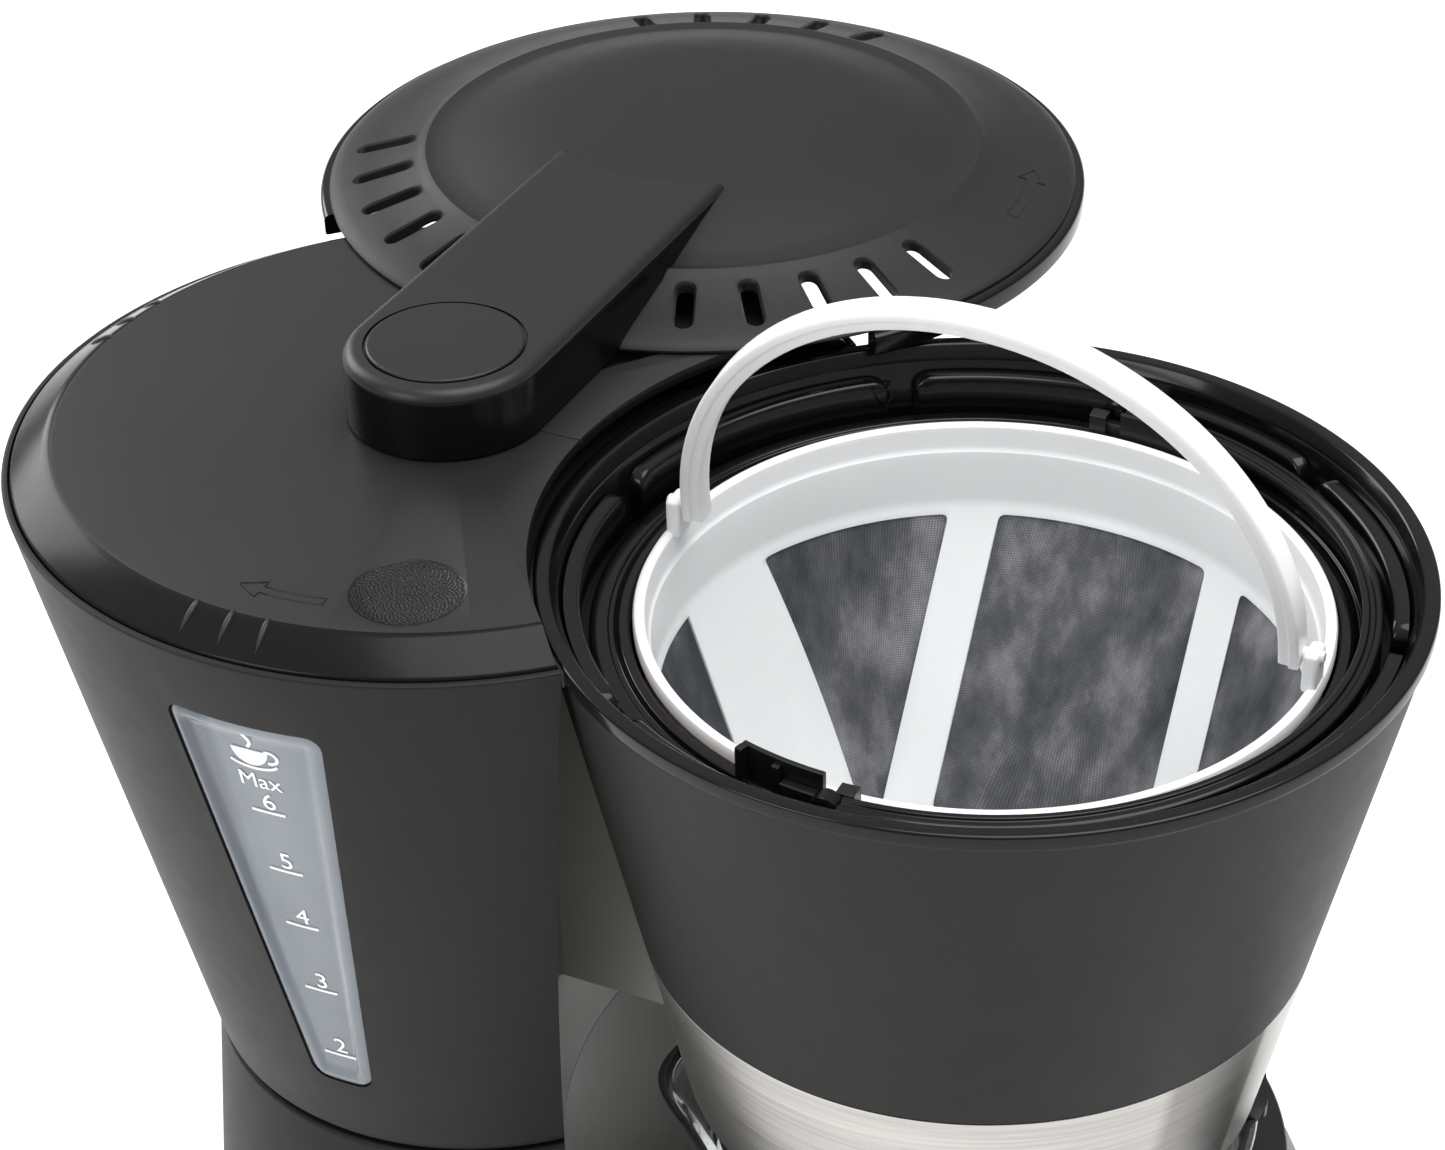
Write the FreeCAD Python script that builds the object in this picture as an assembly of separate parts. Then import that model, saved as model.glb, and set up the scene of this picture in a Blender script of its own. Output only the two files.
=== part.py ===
"""Drip coffee maker with a swivelling shower disc, modelled in millimetres.

Machine axes while drawing: the filter axis is at x = 0, y = 0, the water tank's axis is behind it
on +Y, and z = 0 is the table. Exported parts are shifted so that the origin is the middle of the
whole machine's outline, on the table. The shower arm is drawn swung out over +X, off the filter.
"""
import FreeCAD
import Part
import math
import os

from FreeCAD import Vector

# ---------------------------------------------------------------- driving dimensions
RIM_Z = 278.0            # height of the filter housing's rim above the table
TANK_Y = 101.4           # tank axis behind the filter axis, and the length of the swivel arm
HOUSING_R = 75.0         # filter housing, outside, at the rim
HOUSING_TAPER = 15.0 / 71.0
STEEL_TOP = RIM_Z - 71.0
STEEL_BOTTOM = RIM_Z - 106.0
STEEL_THICK = 0.8
TANK_R = 78.0            # tank, outside, at the rim
WAIST_R = 53.0           # tank, outside, where it meets the tower
WAIST_Z = RIM_Z - 123.0
BAY_R = 75.6             # round bay behind the filter housing and the carafe
WALL = 2.6
BASE_R = 77.0            # base, round the heating plate
BASE_BACK_R = 66.0       # base, round the tower
BASE_FOOT_Z = 4.0
BASE_TOP_Z = 36.0
TOWER_FOOT_R = 63.4
PLATE_TOP_Z = 39.5
LID_TOP = RIM_Z + 4.4    # flat top of the tank lid
LID_FLAT_R = 69.7
LID_R = 76.4
LID_THICK = 2.0
LID_HOLE_R = 15.6
POST_R = 15.0
DECK_DROP = 2.4          # the fixed deck is the lid's own shape this much lower
LID_LEAD_DEG = 25.0      # the lid's seam under the disc, from +X
LID_TRAIL_DEG = -90.0    # its other seam, in front of the post
DECK_STEP_DEG = -36.0    # the fixed deck is at full height beyond this, and lowered before it
LID_REBATE_R = 76.8
ARM_TOP = RIM_Z + 18.0
ARM_BOTTOM = RIM_Z + 4.9
ARM_HALF_WIDTH = 18.0
ARM_REACH = 72.0
CAP_R = 13.8
DISC_R = 73.6
FLANGE_R = 75.5
FLANGE_BOTTOM = RIM_Z + 0.6
FLANGE_TOP = RIM_Z + 4.8
FLANGE_CLEAR_R = 79.0    # the flange stops at this distance from the arm's pivot
SLOT_LENGTH = 11.5
SLOT_WIDTH = 3.4
SLOT_R = 62.9
SLOT_PITCH_DEG = 11.2
SLOT_GROUPS_DEG = (134.0, 225.3, 15.0)
SLOTS_PER_GROUP = 5
RISER_BORE_R = 4.0
COLUMN_R = 11.0
SHELF_Z = RIM_Z - 13.0   # shelf that the basket's flange hangs on
FLANGE_RING_R = 66.3     # basket flange, outside
BASKET_FLOOR_Z = RIM_Z - 95.0
BASKET_BAIL_Z = RIM_Z - 6.4
BASKET_BAIL_IN_R = 62.6
BASKET_BAIL_OUT_R = 66.2
FILTER_RIM_R = 58.9
FILTER_RIM_Z = RIM_Z - 8.2
FILTER_THROAT_Z = RIM_Z - 24.0
FILTER_BOTTOM_Z = RIM_Z - 84.0
FILTER_BOTTOM_R = 20.0   # the filter's bottom is an oblong: half its width
FILTER_BOTTOM_HALF = 15.0  # half the oblong's straight length, along Y
FILTER_TOP_HALF = 0.6    # the same at the throat, which is almost round
FILTER_SKIN = -0.9       # the funnel's inner wall from the throat's radius
FILTER_TURN_DEG = -3.0   # the oblong is turned this far from straight
THROAT_R = 55.8
FILTER_WALL = 1.5
MIDDLE_PANE_HALF = 20.4  # half width of the gauze window in the middle of each long side
END_PANE_START = 28.7    # the ribs end here, and the outer windows start
END_PANE_TOP = 52.3      # outer edge of the outer windows, at their top and at their bottom
END_PANE_BOTTOM = 31.5
END_PANE_BACK_X = -4.0   # the outer windows of the left side reach round to here
FILTER_BAIL_Z = RIM_Z - 3.4
FILTER_BAIL_R = 53.4     # half width of the white bail, to its middle
FILTER_BAIL_STILT = 0.5
FILTER_BAIL_HALF = 1.9
FILTER_BAIL_LEAN_DEG = 10.0
CARAFE_R = 69.0
CARAFE_BOTTOM_Z = 39.9
CARAFE_NECK_R = 48.0
CARAFE_NECK_Z = RIM_Z - 134.0
CARAFE_LIP_R = 53.0
CARAFE_LIP_Z = RIM_Z - 117.5
CARAFE_LID_Z = RIM_Z - 112.0
CARAFE_TURN_DEG = 21.0   # the jug stands with its handle this far to the right of straight ahead
GLASS = 2.4
HANDLE_REACH = 122.0
HANDLE_HALF = 10.0
GLAND_Z = 20.0
GLAND_BORE_R = 3.8
GLAND_LENGTH = 12.0
WINDOW_MID_DEG = 181.5   # direction of the level window from the tank's axis
WINDOW_TOP_Z = RIM_Z - 13.5
WINDOW_BOTTOM_Z = RIM_Z - 106.0
WINDOW_TOP_HALF = 14.5
WINDOW_BOTTOM_HALF = 5.8
FIT_GAP = 0.3            # gap between pieces that move on each other
SEAT_GAP = 0.15          # gap between fixed pieces that drop into each other

TANK_AXIS = (0.0, TANK_Y)
DISC_AXIS = (TANK_Y, TANK_Y)
FILTER_AXIS = (0.0, 0.0)
MIDDLE_X = (DISC_AXIS[0] + FLANGE_R - TANK_R) / 2.0
CARAFE_TURN = math.radians(CARAFE_TURN_DEG)
FRONT_Y = -HANDLE_REACH * math.cos(CARAFE_TURN) - HANDLE_HALF * math.sin(CARAFE_TURN)
MIDDLE_Y = (TANK_Y + TANK_R + FRONT_Y) / 2.0
UP = Vector(0, 0, 1)


# ---------------------------------------------------------------- shape helpers
def revolve(points, axis=FILTER_AXIS):
    """Solid of revolution from a closed outline of (radius, height) points."""
    corners = [Vector(axis[0] + r, axis[1], z) for r, z in points]
    corners.append(corners[0])
    face = Part.Face(Part.makePolygon(corners))
    return face.revolve(Vector(axis[0], axis[1], 0), UP, 360)


def rod(radius, low, high, axis=FILTER_AXIS):
    return Part.makeCylinder(radius, high - low, Vector(axis[0], axis[1], low))


def ring(outer, inner, low, high, axis=FILTER_AXIS):
    return rod(outer, low, high, axis).cut(rod(inner, low - 1, high + 1, axis))


def cone(low_r, high_r, low, high, axis=FILTER_AXIS):
    return Part.makeCone(low_r, high_r, high - low, Vector(axis[0], axis[1], low))


def block(x0, x1, y0, y1, z0, z1):
    return Part.makeBox(x1 - x0, y1 - y0, z1 - z0, Vector(x0, y0, z0))


def turned(shape, degrees, axis=FILTER_AXIS):
    copy = shape.copy()
    copy.rotate(Vector(axis[0], axis[1], 0), UP, degrees)
    return copy


def spread(shape, count, axis=FILTER_AXIS, first=0.0):
    """Copies of a shape, evenly turned about a vertical axis."""
    return [turned(shape, first + i * 360.0 / count, axis) for i in range(count)]


def fused(shapes):
    result = shapes[0]
    if len(shapes) > 1:
        result = result.fuse(shapes[1:])
    return result.removeSplitter()


def pipe_run(points, radius):
    """A round tube's outside: straight runs between points with a ball at each turn."""
    pieces = []
    for start, end in zip(points, points[1:]):
        run = end.sub(start)
        pieces.append(Part.makeCylinder(radius, run.Length, start, run))
    pieces += [Part.makeSphere(radius, corner) for corner in points[1:-1]]
    return fused(pieces)


def hose(points, outer, inner):
    """A hollow hose along the same straight runs."""
    first = points[0].sub(points[1]).normalize()
    last = points[-1].sub(points[-2]).normalize()
    ends = [points[0].add(first * 0.5), *points[1:-1], points[-1].add(last * 0.5)]
    return pipe_run(points, outer).cut(pipe_run(ends, inner))


def racetrack_face(front_r, back_r, height):
    """Flat outline that joins a circle at the filter axis to one at the tank axis by tangents."""
    lean = math.asin((front_r - back_r) / TANK_Y)
    side = (math.cos(lean), math.sin(lean))
    right_front = Vector(front_r * side[0], front_r * side[1], height)
    left_front = Vector(-right_front.x, right_front.y, height)
    right_back = Vector(back_r * side[0], TANK_Y + back_r * side[1], height)
    left_back = Vector(-right_back.x, right_back.y, height)
    front = Part.Arc(left_front, Vector(0, -front_r, height), right_front).toShape()
    back = Part.Arc(right_back, Vector(0, TANK_Y + back_r, height), left_back).toShape()
    sides = [Part.makeLine(right_front, right_back), Part.makeLine(left_back, left_front)]
    return Part.Wire([front, sides[0], back, sides[1]])


def racetrack(front_r, back_r, low, high, draft=0.0):
    """Solid between two such outlines, the upper one smaller by the draft."""
    wires = [racetrack_face(front_r, back_r, low),
             racetrack_face(front_r - draft, back_r - draft, high)]
    return Part.makeLoft(wires, True, True)


def sector(start_deg, end_deg, axis=TANK_AXIS):
    """Tall pie slice between two directions."""
    low = RIM_Z - 30.0
    slice_shape = Part.makeCylinder(120.0, 60.0, Vector(axis[0], axis[1], low), UP,
                                    end_deg - start_deg)
    return turned(slice_shape, start_deg, axis)


def housing_radius(height):
    return HOUSING_R + (height - RIM_Z) * HOUSING_TAPER


def housing_inner_radius(height):
    return housing_radius(height) - WALL - STEEL_THICK


def bay(radius=BAY_R, low=-10.0, high=400.0):
    return rod(radius, low, high)


def screw(x, y, low, high, head_r=3.0, shank_r=1.6, head=2.0):
    """Pan-head screw that points up, its head at the low end, with a cross recess."""
    body = rod(head_r, low, low + head, (x, y)).fuse(rod(shank_r, low + head, high, (x, y)))
    slot = block(x - 0.5, x + 0.5, y - 2.0, y + 2.0, low - 1, low + 0.8)
    cross = slot.fuse(turned(slot, 90, (x, y)))
    return body.cut(cross)


# ---------------------------------------------------------------- base
BASE_DRAFT = 2.0
PLATE_R = 58.0
PLATE_HOLE_R = 61.0
FOOT_R = 8.0
FOOT_SPOTS = [(-48, -38), (48, -38), (-44, 140), (44, 140)]
BOSS_SPOTS = [(-67.5, 8), (67.5, 8), (-32, 148), (32, 148)]
SWITCH_Z = 20.0
SWITCH_HALF_X = 10.5
SWITCH_HALF_Z = 7.5
SWITCH_FACE_Y = -BASE_R - 0.8


def base_shell():
    outer = racetrack(BASE_R, BASE_BACK_R, BASE_FOOT_Z, BASE_TOP_Z, BASE_DRAFT)
    inner = racetrack(BASE_R - WALL, BASE_BACK_R - WALL, BASE_FOOT_Z - 1, BASE_TOP_Z - WALL,
                      BASE_DRAFT)
    shell = outer.cut(inner)
    shell = shell.cut(rod(PLATE_HOLE_R, 20, 50))
    service = rod(34.0, 20, 50, TANK_AXIS).cut(bay(BAY_R + 4))
    shell = shell.cut(service)
    bosses = [rod(4.2, BASE_FOOT_Z + 3.2, BASE_TOP_Z - WALL + 0.5, spot) for spot in BOSS_SPOTS]
    shell = fused([shell] + bosses)
    for spot in BOSS_SPOTS:
        shell = shell.cut(rod(1.6, 0, 22, spot))
    opening = block(-SWITCH_HALF_X - 2, SWITCH_HALF_X + 2, -BASE_R - 5, -BASE_R + 12,
                    SWITCH_Z - SWITCH_HALF_Z - 1.5, SWITCH_Z + SWITCH_HALF_Z + 1.5)
    shell = shell.cut(opening)
    gland_hole = Part.makeCylinder(7.0, 20, Vector(0, TANK_Y + BASE_BACK_R - 10, GLAND_Z),
                                   Vector(0, 1, 0))
    return shell.cut(gland_hole)


def base_cover():
    edge = WALL + 0.5
    plate = racetrack(BASE_R - edge, BASE_BACK_R - edge, BASE_FOOT_Z, BASE_FOOT_Z + 3.0)
    for spot in BOSS_SPOTS:
        plate = plate.cut(rod(1.9, 0, 20, spot)).cut(rod(3.3, 0, BASE_FOOT_Z + 2.2, spot))
    for spot in FOOT_SPOTS:
        plate = plate.cut(rod(3.2, 0, 20, spot))
    vent = block(-26, 26, -1.3, 1.3, 0, 20)
    for step in range(7):
        slot = vent.copy()
        slot.translate(Vector(0, 52 + 8 * step, 0))
        plate = plate.cut(slot)
    return plate


def rubber_feet():
    feet = []
    for spot in FOOT_SPOTS:
        pad = revolve([(0, 0), (FOOT_R - 1, 0), (FOOT_R, 1), (FOOT_R, BASE_FOOT_Z - 0.1),
                       (0, BASE_FOOT_Z - 0.1)], spot)
        feet.append(pad.fuse(rod(3.0, BASE_FOOT_Z - 0.2, BASE_FOOT_Z + 4.5, spot)))
    return Part.Compound(feet)


def base_screws():
    low = BASE_FOOT_Z + 0.1
    return Part.Compound([screw(x, y, low, low + 14, shank_r=1.5) for x, y in BOSS_SPOTS])


def plate_seal():
    """Silicone ring of L section that carries the plate in the base."""
    return revolve([(PLATE_R - 3, BASE_TOP_Z - 2.4), (PLATE_HOLE_R - SEAT_GAP, BASE_TOP_Z - 2.4),
                    (PLATE_HOLE_R - SEAT_GAP, BASE_TOP_Z + 0.1),
                    (PLATE_HOLE_R + 2.4, BASE_TOP_Z + 0.1), (PLATE_HOLE_R + 1.2, BASE_TOP_Z + 1.9),
                    (PLATE_R + SEAT_GAP, BASE_TOP_Z + 1.9), (PLATE_R + SEAT_GAP, BASE_TOP_Z - 0.9),
                    (PLATE_R - 3, BASE_TOP_Z - 0.9)])


def heating_plate():
    """Enamelled steel dish with a raised edge and a flat middle for the carafe."""
    low = BASE_TOP_Z - 0.8
    top = PLATE_TOP_Z
    return revolve([(0, top - 1.6), (50, top - 1.6), (52, low), (PLATE_R, low), (PLATE_R, low + 1.6),
                    (53.2, low + 1.6), (51.0, top), (0, top)])


HEATER_R = 38.0
HEATER_Z = BASE_TOP_Z - 6.6
HEATER_PIPE_R = 4.2
WATER_PIPE_R = 3.0
HOSE_R = 4.4
HEATER_SPAN_DEG = 250.0


def heater_casting():
    """Horseshoe casting under the plate, with the water way beside the electric rod."""
    start = 90.0 + (360.0 - HEATER_SPAN_DEG) / 2.0
    body = Part.makeTorus(HEATER_R, HEATER_PIPE_R, Vector(0, 0, HEATER_Z), UP, -180, 180,
                          HEATER_SPAN_DEG)
    lug = block(HEATER_R - 9, HEATER_R + 10, -1.5, 1.5, HEATER_Z - 2, HEATER_Z + 4.4)
    body = turned(body, start)
    bore = turned(Part.makeTorus(HEATER_R, HEATER_PIPE_R - 1.6, Vector(0, 0, HEATER_Z), UP, -180,
                                 180, HEATER_SPAN_DEG), start)
    body = body.cut(bore)
    plate = block(-16, 16, -HEATER_R - 8, -HEATER_R + 8, HEATER_Z + 2.0, HEATER_Z + 4.2)
    plate = plate.cut(bore)
    lugs = [turned(lug.cut(bore), angle) for angle in (0, 180)]
    lugs = [lug_shape.cut(bore) for lug_shape in lugs]
    return fused([body, plate] + lugs)


def heater_end(side):
    """Where the horseshoe stops: side is +1 for the hot end, on +X, and -1 for the cold end."""
    angle = math.radians(90.0 - side * (360.0 - HEATER_SPAN_DEG) / 2.0)
    return Vector(HEATER_R * math.cos(angle), HEATER_R * math.sin(angle), HEATER_Z)


def heater_spreader():
    """Aluminium pressing that passes the heater's warmth to the plate."""
    return ring(48.0, 12.0, HEATER_Z + 4.45, PLATE_TOP_Z - 1.75)


def thermostat():
    """Snap-action thermostat on the heater's front lug plate."""
    disc = rod(7.5, HEATER_Z - 9.0, HEATER_Z - 4.4, (0, -HEATER_R))
    tabs = [block(x - 0.4, x + 0.4, -HEATER_R - 3, -HEATER_R + 3, HEATER_Z - 15, HEATER_Z - 8.9)
            for x in (-4, 4)]
    return fused([disc] + tabs)


def thermostat_bracket():
    strap = block(-14, 14, -HEATER_R - 5, -HEATER_R + 5, HEATER_Z - 4.35, HEATER_Z - 3.2)
    cut = Part.makeTorus(HEATER_R, HEATER_PIPE_R + 0.1, Vector(0, 0, HEATER_Z), UP)
    legs = [block(x - 1.5, x + 1.5, -HEATER_R - 7.5, -HEATER_R - 5, HEATER_Z - 4.35, HEATER_Z + 1.9)
            for x in (-12.5, 12.5)]
    return fused([strap] + legs).cut(cut)


def thermal_fuses():
    fuses = []
    for side in (-1, 1):
        spot = Vector(side * 50.4, -11, HEATER_Z - 0.5)
        fuses.append(Part.makeCylinder(2.2, 22, spot, Vector(0, 1, 0)))
    return Part.Compound(fuses)


def switch_frame():
    outer = block(-SWITCH_HALF_X - 1.8, SWITCH_HALF_X + 1.8, -BASE_R + 0.4, -BASE_R + 11,
                  SWITCH_Z - SWITCH_HALF_Z - 1.3, SWITCH_Z + SWITCH_HALF_Z + 1.3)
    flange = block(-SWITCH_HALF_X - 3.2, SWITCH_HALF_X + 3.2, -BASE_R - 1.6, -BASE_R - 0.05,
                   SWITCH_Z - SWITCH_HALF_Z - 2.8, SWITCH_Z + SWITCH_HALF_Z + 2.8)
    bridge = block(-SWITCH_HALF_X - 1.8, SWITCH_HALF_X + 1.8, -BASE_R - 0.2, -BASE_R + 0.5,
                   SWITCH_Z - SWITCH_HALF_Z - 1.3, SWITCH_Z + SWITCH_HALF_Z + 1.3)
    well = block(-SWITCH_HALF_X, SWITCH_HALF_X, -BASE_R - 5, -BASE_R + 8.5,
                 SWITCH_Z - SWITCH_HALF_Z, SWITCH_Z + SWITCH_HALF_Z)
    return fused([outer, flange, bridge]).cut(well)


def rocker_outline():
    """Side view of the rocker, in y and z: a shallow V face on a round back."""
    x0 = -SWITCH_HALF_X + 0.5
    y0 = SWITCH_FACE_Y
    half = SWITCH_HALF_Z - 0.7
    points = [(y0 - 2.2, half), (y0 - 0.6, 0), (y0 - 2.2, -half), (y0 + 3.0, -half + 0.9),
              (y0 + 4.8, -3.0), (y0 + 4.8, 3.0), (y0 + 3.0, half - 0.9)]
    corners = [Vector(x0, y, SWITCH_Z + z) for y, z in points]
    face = Part.Face(Part.makePolygon(corners + corners[:1]))
    return face.extrude(Vector(2 * SWITCH_HALF_X - 1.0, 0, 0))


LENS_HALF_X = 5.0
ROCKER_TILT_DEG = 8.0


def tipped(shape):
    """The rocker in its off position, turned on its cross axis."""
    shape.rotate(Vector(0, SWITCH_FACE_Y + 2.4, SWITCH_Z), Vector(1, 0, 0), ROCKER_TILT_DEG)
    return shape


def power_switch():
    window = block(-LENS_HALF_X, LENS_HALF_X, SWITCH_FACE_Y - 5, SWITCH_FACE_Y - 0.2,
                   SWITCH_Z + 2.0, SWITCH_Z + 4.6)
    return tipped(rocker_outline().cut(window))


def switch_lens():
    window = block(-LENS_HALF_X + 0.1, LENS_HALF_X - 0.1, SWITCH_FACE_Y - 5, SWITCH_FACE_Y - 0.3,
                   SWITCH_Z + 2.1, SWITCH_Z + 4.5)
    return tipped(rocker_outline().common(window))


def cord_gland():
    """Inlet bushing at the back of the base. Its bore is where the mains cord would enter."""
    face_y = TANK_Y + BASE_BACK_R
    bush = Part.makeCylinder(6.8, GLAND_LENGTH - 4, Vector(0, face_y - 8.4, GLAND_Z), Vector(0, 1, 0))
    collar = Part.makeCylinder(9.0, 4.0, Vector(0, face_y + 0.1, GLAND_Z), Vector(0, 1, 0))
    neck = Part.makeCylinder(6.8, 1.0, Vector(0, face_y - 0.6, GLAND_Z), Vector(0, 1, 0))
    bore = Part.makeCylinder(GLAND_BORE_R, 40, Vector(0, face_y - 20, GLAND_Z), Vector(0, 1, 0))
    return fused([bush, neck, collar]).cut(bore)


def terminal_block():
    housing = block(-14, 14, 138, 150, 8, 18)
    for x in (-8, 0, 8):
        housing = housing.cut(rod(1.8, 12, 30, (x, 144)))
    return housing


def terminal_screws():
    return Part.Compound([rod(1.6, 12.2, 17.2, (x, 144)) for x in (-8, 0, 8)])


# ---------------------------------------------------------------- tower and tank
def bitten_cone(low_r, high_r, low, high, bay_r):
    return cone(low_r, high_r, low, high, TANK_AXIS).cut(bay(bay_r))


def tower_housing():
    """Hollow tower between base and tank, with the round carafe bay cut into its front."""
    low = BASE_TOP_Z + 0.1
    outer = bitten_cone(TOWER_FOOT_R, WAIST_R, low, WAIST_Z - SEAT_GAP, BAY_R)
    inner = bitten_cone(TOWER_FOOT_R - WALL, WAIST_R - WALL, low - 0.01, WAIST_Z, BAY_R + WALL)
    return outer.cut(inner)


TANK_FLOOR = 3.0
OUTLET_Y = TANK_Y + 30.0


def tank_radius(height):
    return WAIST_R + (TANK_R - WAIST_R) * (height - WAIST_Z) / (RIM_Z - WAIST_Z)


def window_prism(grow):
    """Slanted wedge through the tank wall at the level window."""
    half_top = WINDOW_TOP_HALF + grow
    half_bottom = WINDOW_BOTTOM_HALF + grow
    low = WINDOW_BOTTOM_Z - grow
    high = WINDOW_TOP_Z + grow
    corners = [Vector(30, -half_bottom, low), Vector(30, half_bottom, low),
               Vector(30, half_top, high), Vector(30, -half_top, high)]
    face = Part.Face(Part.makePolygon(corners + corners[:1]))
    prism = face.extrude(Vector(70, 0, 0))
    prism.rotate(Vector(0, 0, 0), UP, WINDOW_MID_DEG)
    prism.translate(Vector(TANK_AXIS[0], TANK_AXIS[1], 0))
    return prism


def tank_wall(outer_step=0.0, inner_step=WALL):
    """The tank's shell between two offsets of its outer face, without floor or column."""
    outer = bitten_cone(WAIST_R - outer_step, TANK_R - outer_step, WAIST_Z, RIM_Z,
                        BAY_R + outer_step)
    inner = bitten_cone(WAIST_R - inner_step, TANK_R - inner_step, WAIST_Z - 0.01, RIM_Z + 0.01,
                        BAY_R + inner_step)
    return outer.cut(inner)


def tank_shell():
    wall = tank_wall()
    wall = wall.cut(window_prism(SEAT_GAP))
    floor = bitten_cone(WAIST_R - 0.5, WAIST_R, WAIST_Z, WAIST_Z + TANK_FLOOR, BAY_R + 0.5)
    column = ring(COLUMN_R, COLUMN_R - 2.5, WAIST_Z, RIM_Z - 6.0, TANK_AXIS)
    shell = fused([wall, floor, column])
    shell = shell.cut(rod(COLUMN_R - 2.5, WAIST_Z - 5, RIM_Z, TANK_AXIS))
    rebate = ring(LID_REBATE_R, 66.0, RIM_Z - 2.1, RIM_Z + 2, TANK_AXIS)
    return shell.cut(rebate).cut(rod(6.2, WAIST_Z - 5, WAIST_Z + 10, (0, OUTLET_Y)))


def level_window():
    return tank_wall(0.4, WALL - 0.2).common(window_prism(0.0))


def lid_profile(drop, thick, outer_r=LID_R, inner_r=LID_HOLE_R):
    """Section of the lid: a flat top with a sloping edge, lowered by drop."""
    top = LID_TOP - drop
    edge = RIM_Z + 0.3 - drop
    return [(inner_r, top - thick), (LID_FLAT_R, top - thick), (outer_r - 1.0, edge - thick),
            (outer_r, edge - thick), (outer_r, edge), (LID_FLAT_R, top), (inner_r, top)]


def tank_lid():
    """Turning lid over the water tank: all of the top but the fixed sector under the disc."""
    lid = revolve(lid_profile(0.0, LID_THICK), TANK_AXIS)
    lid = lid.cut(sector(LID_TRAIL_DEG, LID_LEAD_DEG))
    lid = lid.cut(bay(BAY_R + 0.2))
    dish = Part.makeSphere(44.0, Vector(-53.1, 79.1, LID_TOP + 43.0))
    return lid.cut(dish)


LEDGE_TOP = RIM_Z - 2.2
LEDGE_R = 74.0


def tank_deck():
    """Fixed part of the tank's top: post collar, lowered sector that the lid slides over, ledge."""
    plate = revolve(lid_profile(DECK_DROP, LID_THICK, LEDGE_R, POST_R - 3.0), TANK_AXIS)
    plate = plate.common(sector(DECK_STEP_DEG - 1, LID_LEAD_DEG + 5))
    ledge = ring(LEDGE_R, 70.5, LEDGE_TOP - 3.0, LEDGE_TOP, TANK_AXIS)
    collar = ring(POST_R, COLUMN_R - 2.5, RIM_Z - 5.8, ARM_BOTTOM - FIT_GAP, TANK_AXIS)
    flange = ring(POST_R + 6, COLUMN_R - 2.5, RIM_Z - 2.4, RIM_Z + 1.9, TANK_AXIS)
    bridge = block(POST_R + 1, 73, TANK_Y - 4, TANK_Y + 4, LEDGE_TOP - 3.0, RIM_Z + 1.0)
    bridge = bridge.common(cone(72.0, 68.0, RIM_Z - 8.0, RIM_Z + 2.0, TANK_AXIS))
    deck = fused([plate, ledge, collar, flange, bridge])
    return deck.cut(bay(BAY_R + WALL + 0.7))


def deck_front():
    """Fixed plate level with the lid, beside the filter housing."""
    plate = revolve(lid_profile(0.0, LID_THICK + 0.2, LID_R - 0.3, POST_R + 0.1), TANK_AXIS)
    plate = plate.common(sector(LID_TRAIL_DEG + 0.3, DECK_STEP_DEG - 1.2))
    return plate.cut(bay(BAY_R + 0.2))


def check_valve_body():
    """Outlet fitting in the tank floor: a chamber whose upper seat the ball closes on back-flow."""
    lip = WAIST_Z + TANK_FLOOR + 0.2
    body = revolve([(2.2, WAIST_Z - 18), (3.6, WAIST_Z - 18), (3.6, WAIST_Z - 11),
                    (6.0, WAIST_Z - 9), (6.0, lip), (8.0, lip), (8.0, lip + 1.8), (2.4, lip + 1.8),
                    (2.4, WAIST_Z + 2.0), (4.2, WAIST_Z - 1.6), (4.2, WAIST_Z - 5),
                    (2.2, WAIST_Z - 9)], (0, OUTLET_Y))
    groove = block(-3.6, 3.6, OUTLET_Y - 0.6, OUTLET_Y + 0.6, WAIST_Z - 10, WAIST_Z - 5)
    return body.cut(groove)


def check_valve_ball():
    return Part.makeSphere(3.4, Vector(0, OUTLET_Y, WAIST_Z - 5.7))


LOW_RUN_Z = 19.0


def cold_hose():
    """Silicone hose from the tank's outlet to the heater's cold end."""
    end = heater_end(-1)
    points = [Vector(0, OUTLET_Y, WAIST_Z - 13), Vector(0, OUTLET_Y, WAIST_Z - 34),
              Vector(-18, OUTLET_Y - 12, WAIST_Z - 64), Vector(-18, OUTLET_Y - 22, LOW_RUN_Z),
              Vector(end.x, 60, LOW_RUN_Z), Vector(end.x, end.y + 17.5, HEATER_Z),
              Vector(end.x, end.y + 5.0, HEATER_Z)]
    return hose(points, HOSE_R + 0.6, 3.65).cut(base_edge_guard())


def base_edge_guard():
    """Keeps the hoses' upper side clear of the plate's seal."""
    return block(-60, 60, 0, 70, HEATER_Z + HOSE_R, 60)


def hot_hose():
    """Silicone hose from the heater's hot end to the riser."""
    end = heater_end(1)
    points = [Vector(end.x, end.y + 5.0, HEATER_Z), Vector(end.x, end.y + 17.5, HEATER_Z),
              Vector(end.x, 60, LOW_RUN_Z), Vector(14, TANK_Y - 4, LOW_RUN_Z),
              Vector(0, TANK_Y, HEATER_Z + 26), Vector(0, TANK_Y, HEATER_Z + 46)]
    return hose(points, HOSE_R + 0.9, 4.05).cut(base_edge_guard())


def heater_pipes():
    """Steel pipe ends of the heater that the two hoses push on to."""
    stubs = []
    for side in (-1, 1):
        end = heater_end(side)
        stub = Part.makeCylinder(WATER_PIPE_R, 15, Vector(end.x, end.y, HEATER_Z), Vector(0, 1, 0))
        bore = Part.makeCylinder(2.0, 30, Vector(end.x, end.y - 2, HEATER_Z), Vector(0, 1, 0))
        stubs.append(stub.cut(bore).cut(heater_casting()))
    return Part.Compound([stub.Solids[-1] for stub in stubs])


def riser_tube():
    low = HEATER_Z + 34
    return ring(RISER_BORE_R, 2.8, low, ARM_BOTTOM + 4.0, TANK_AXIS)


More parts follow.
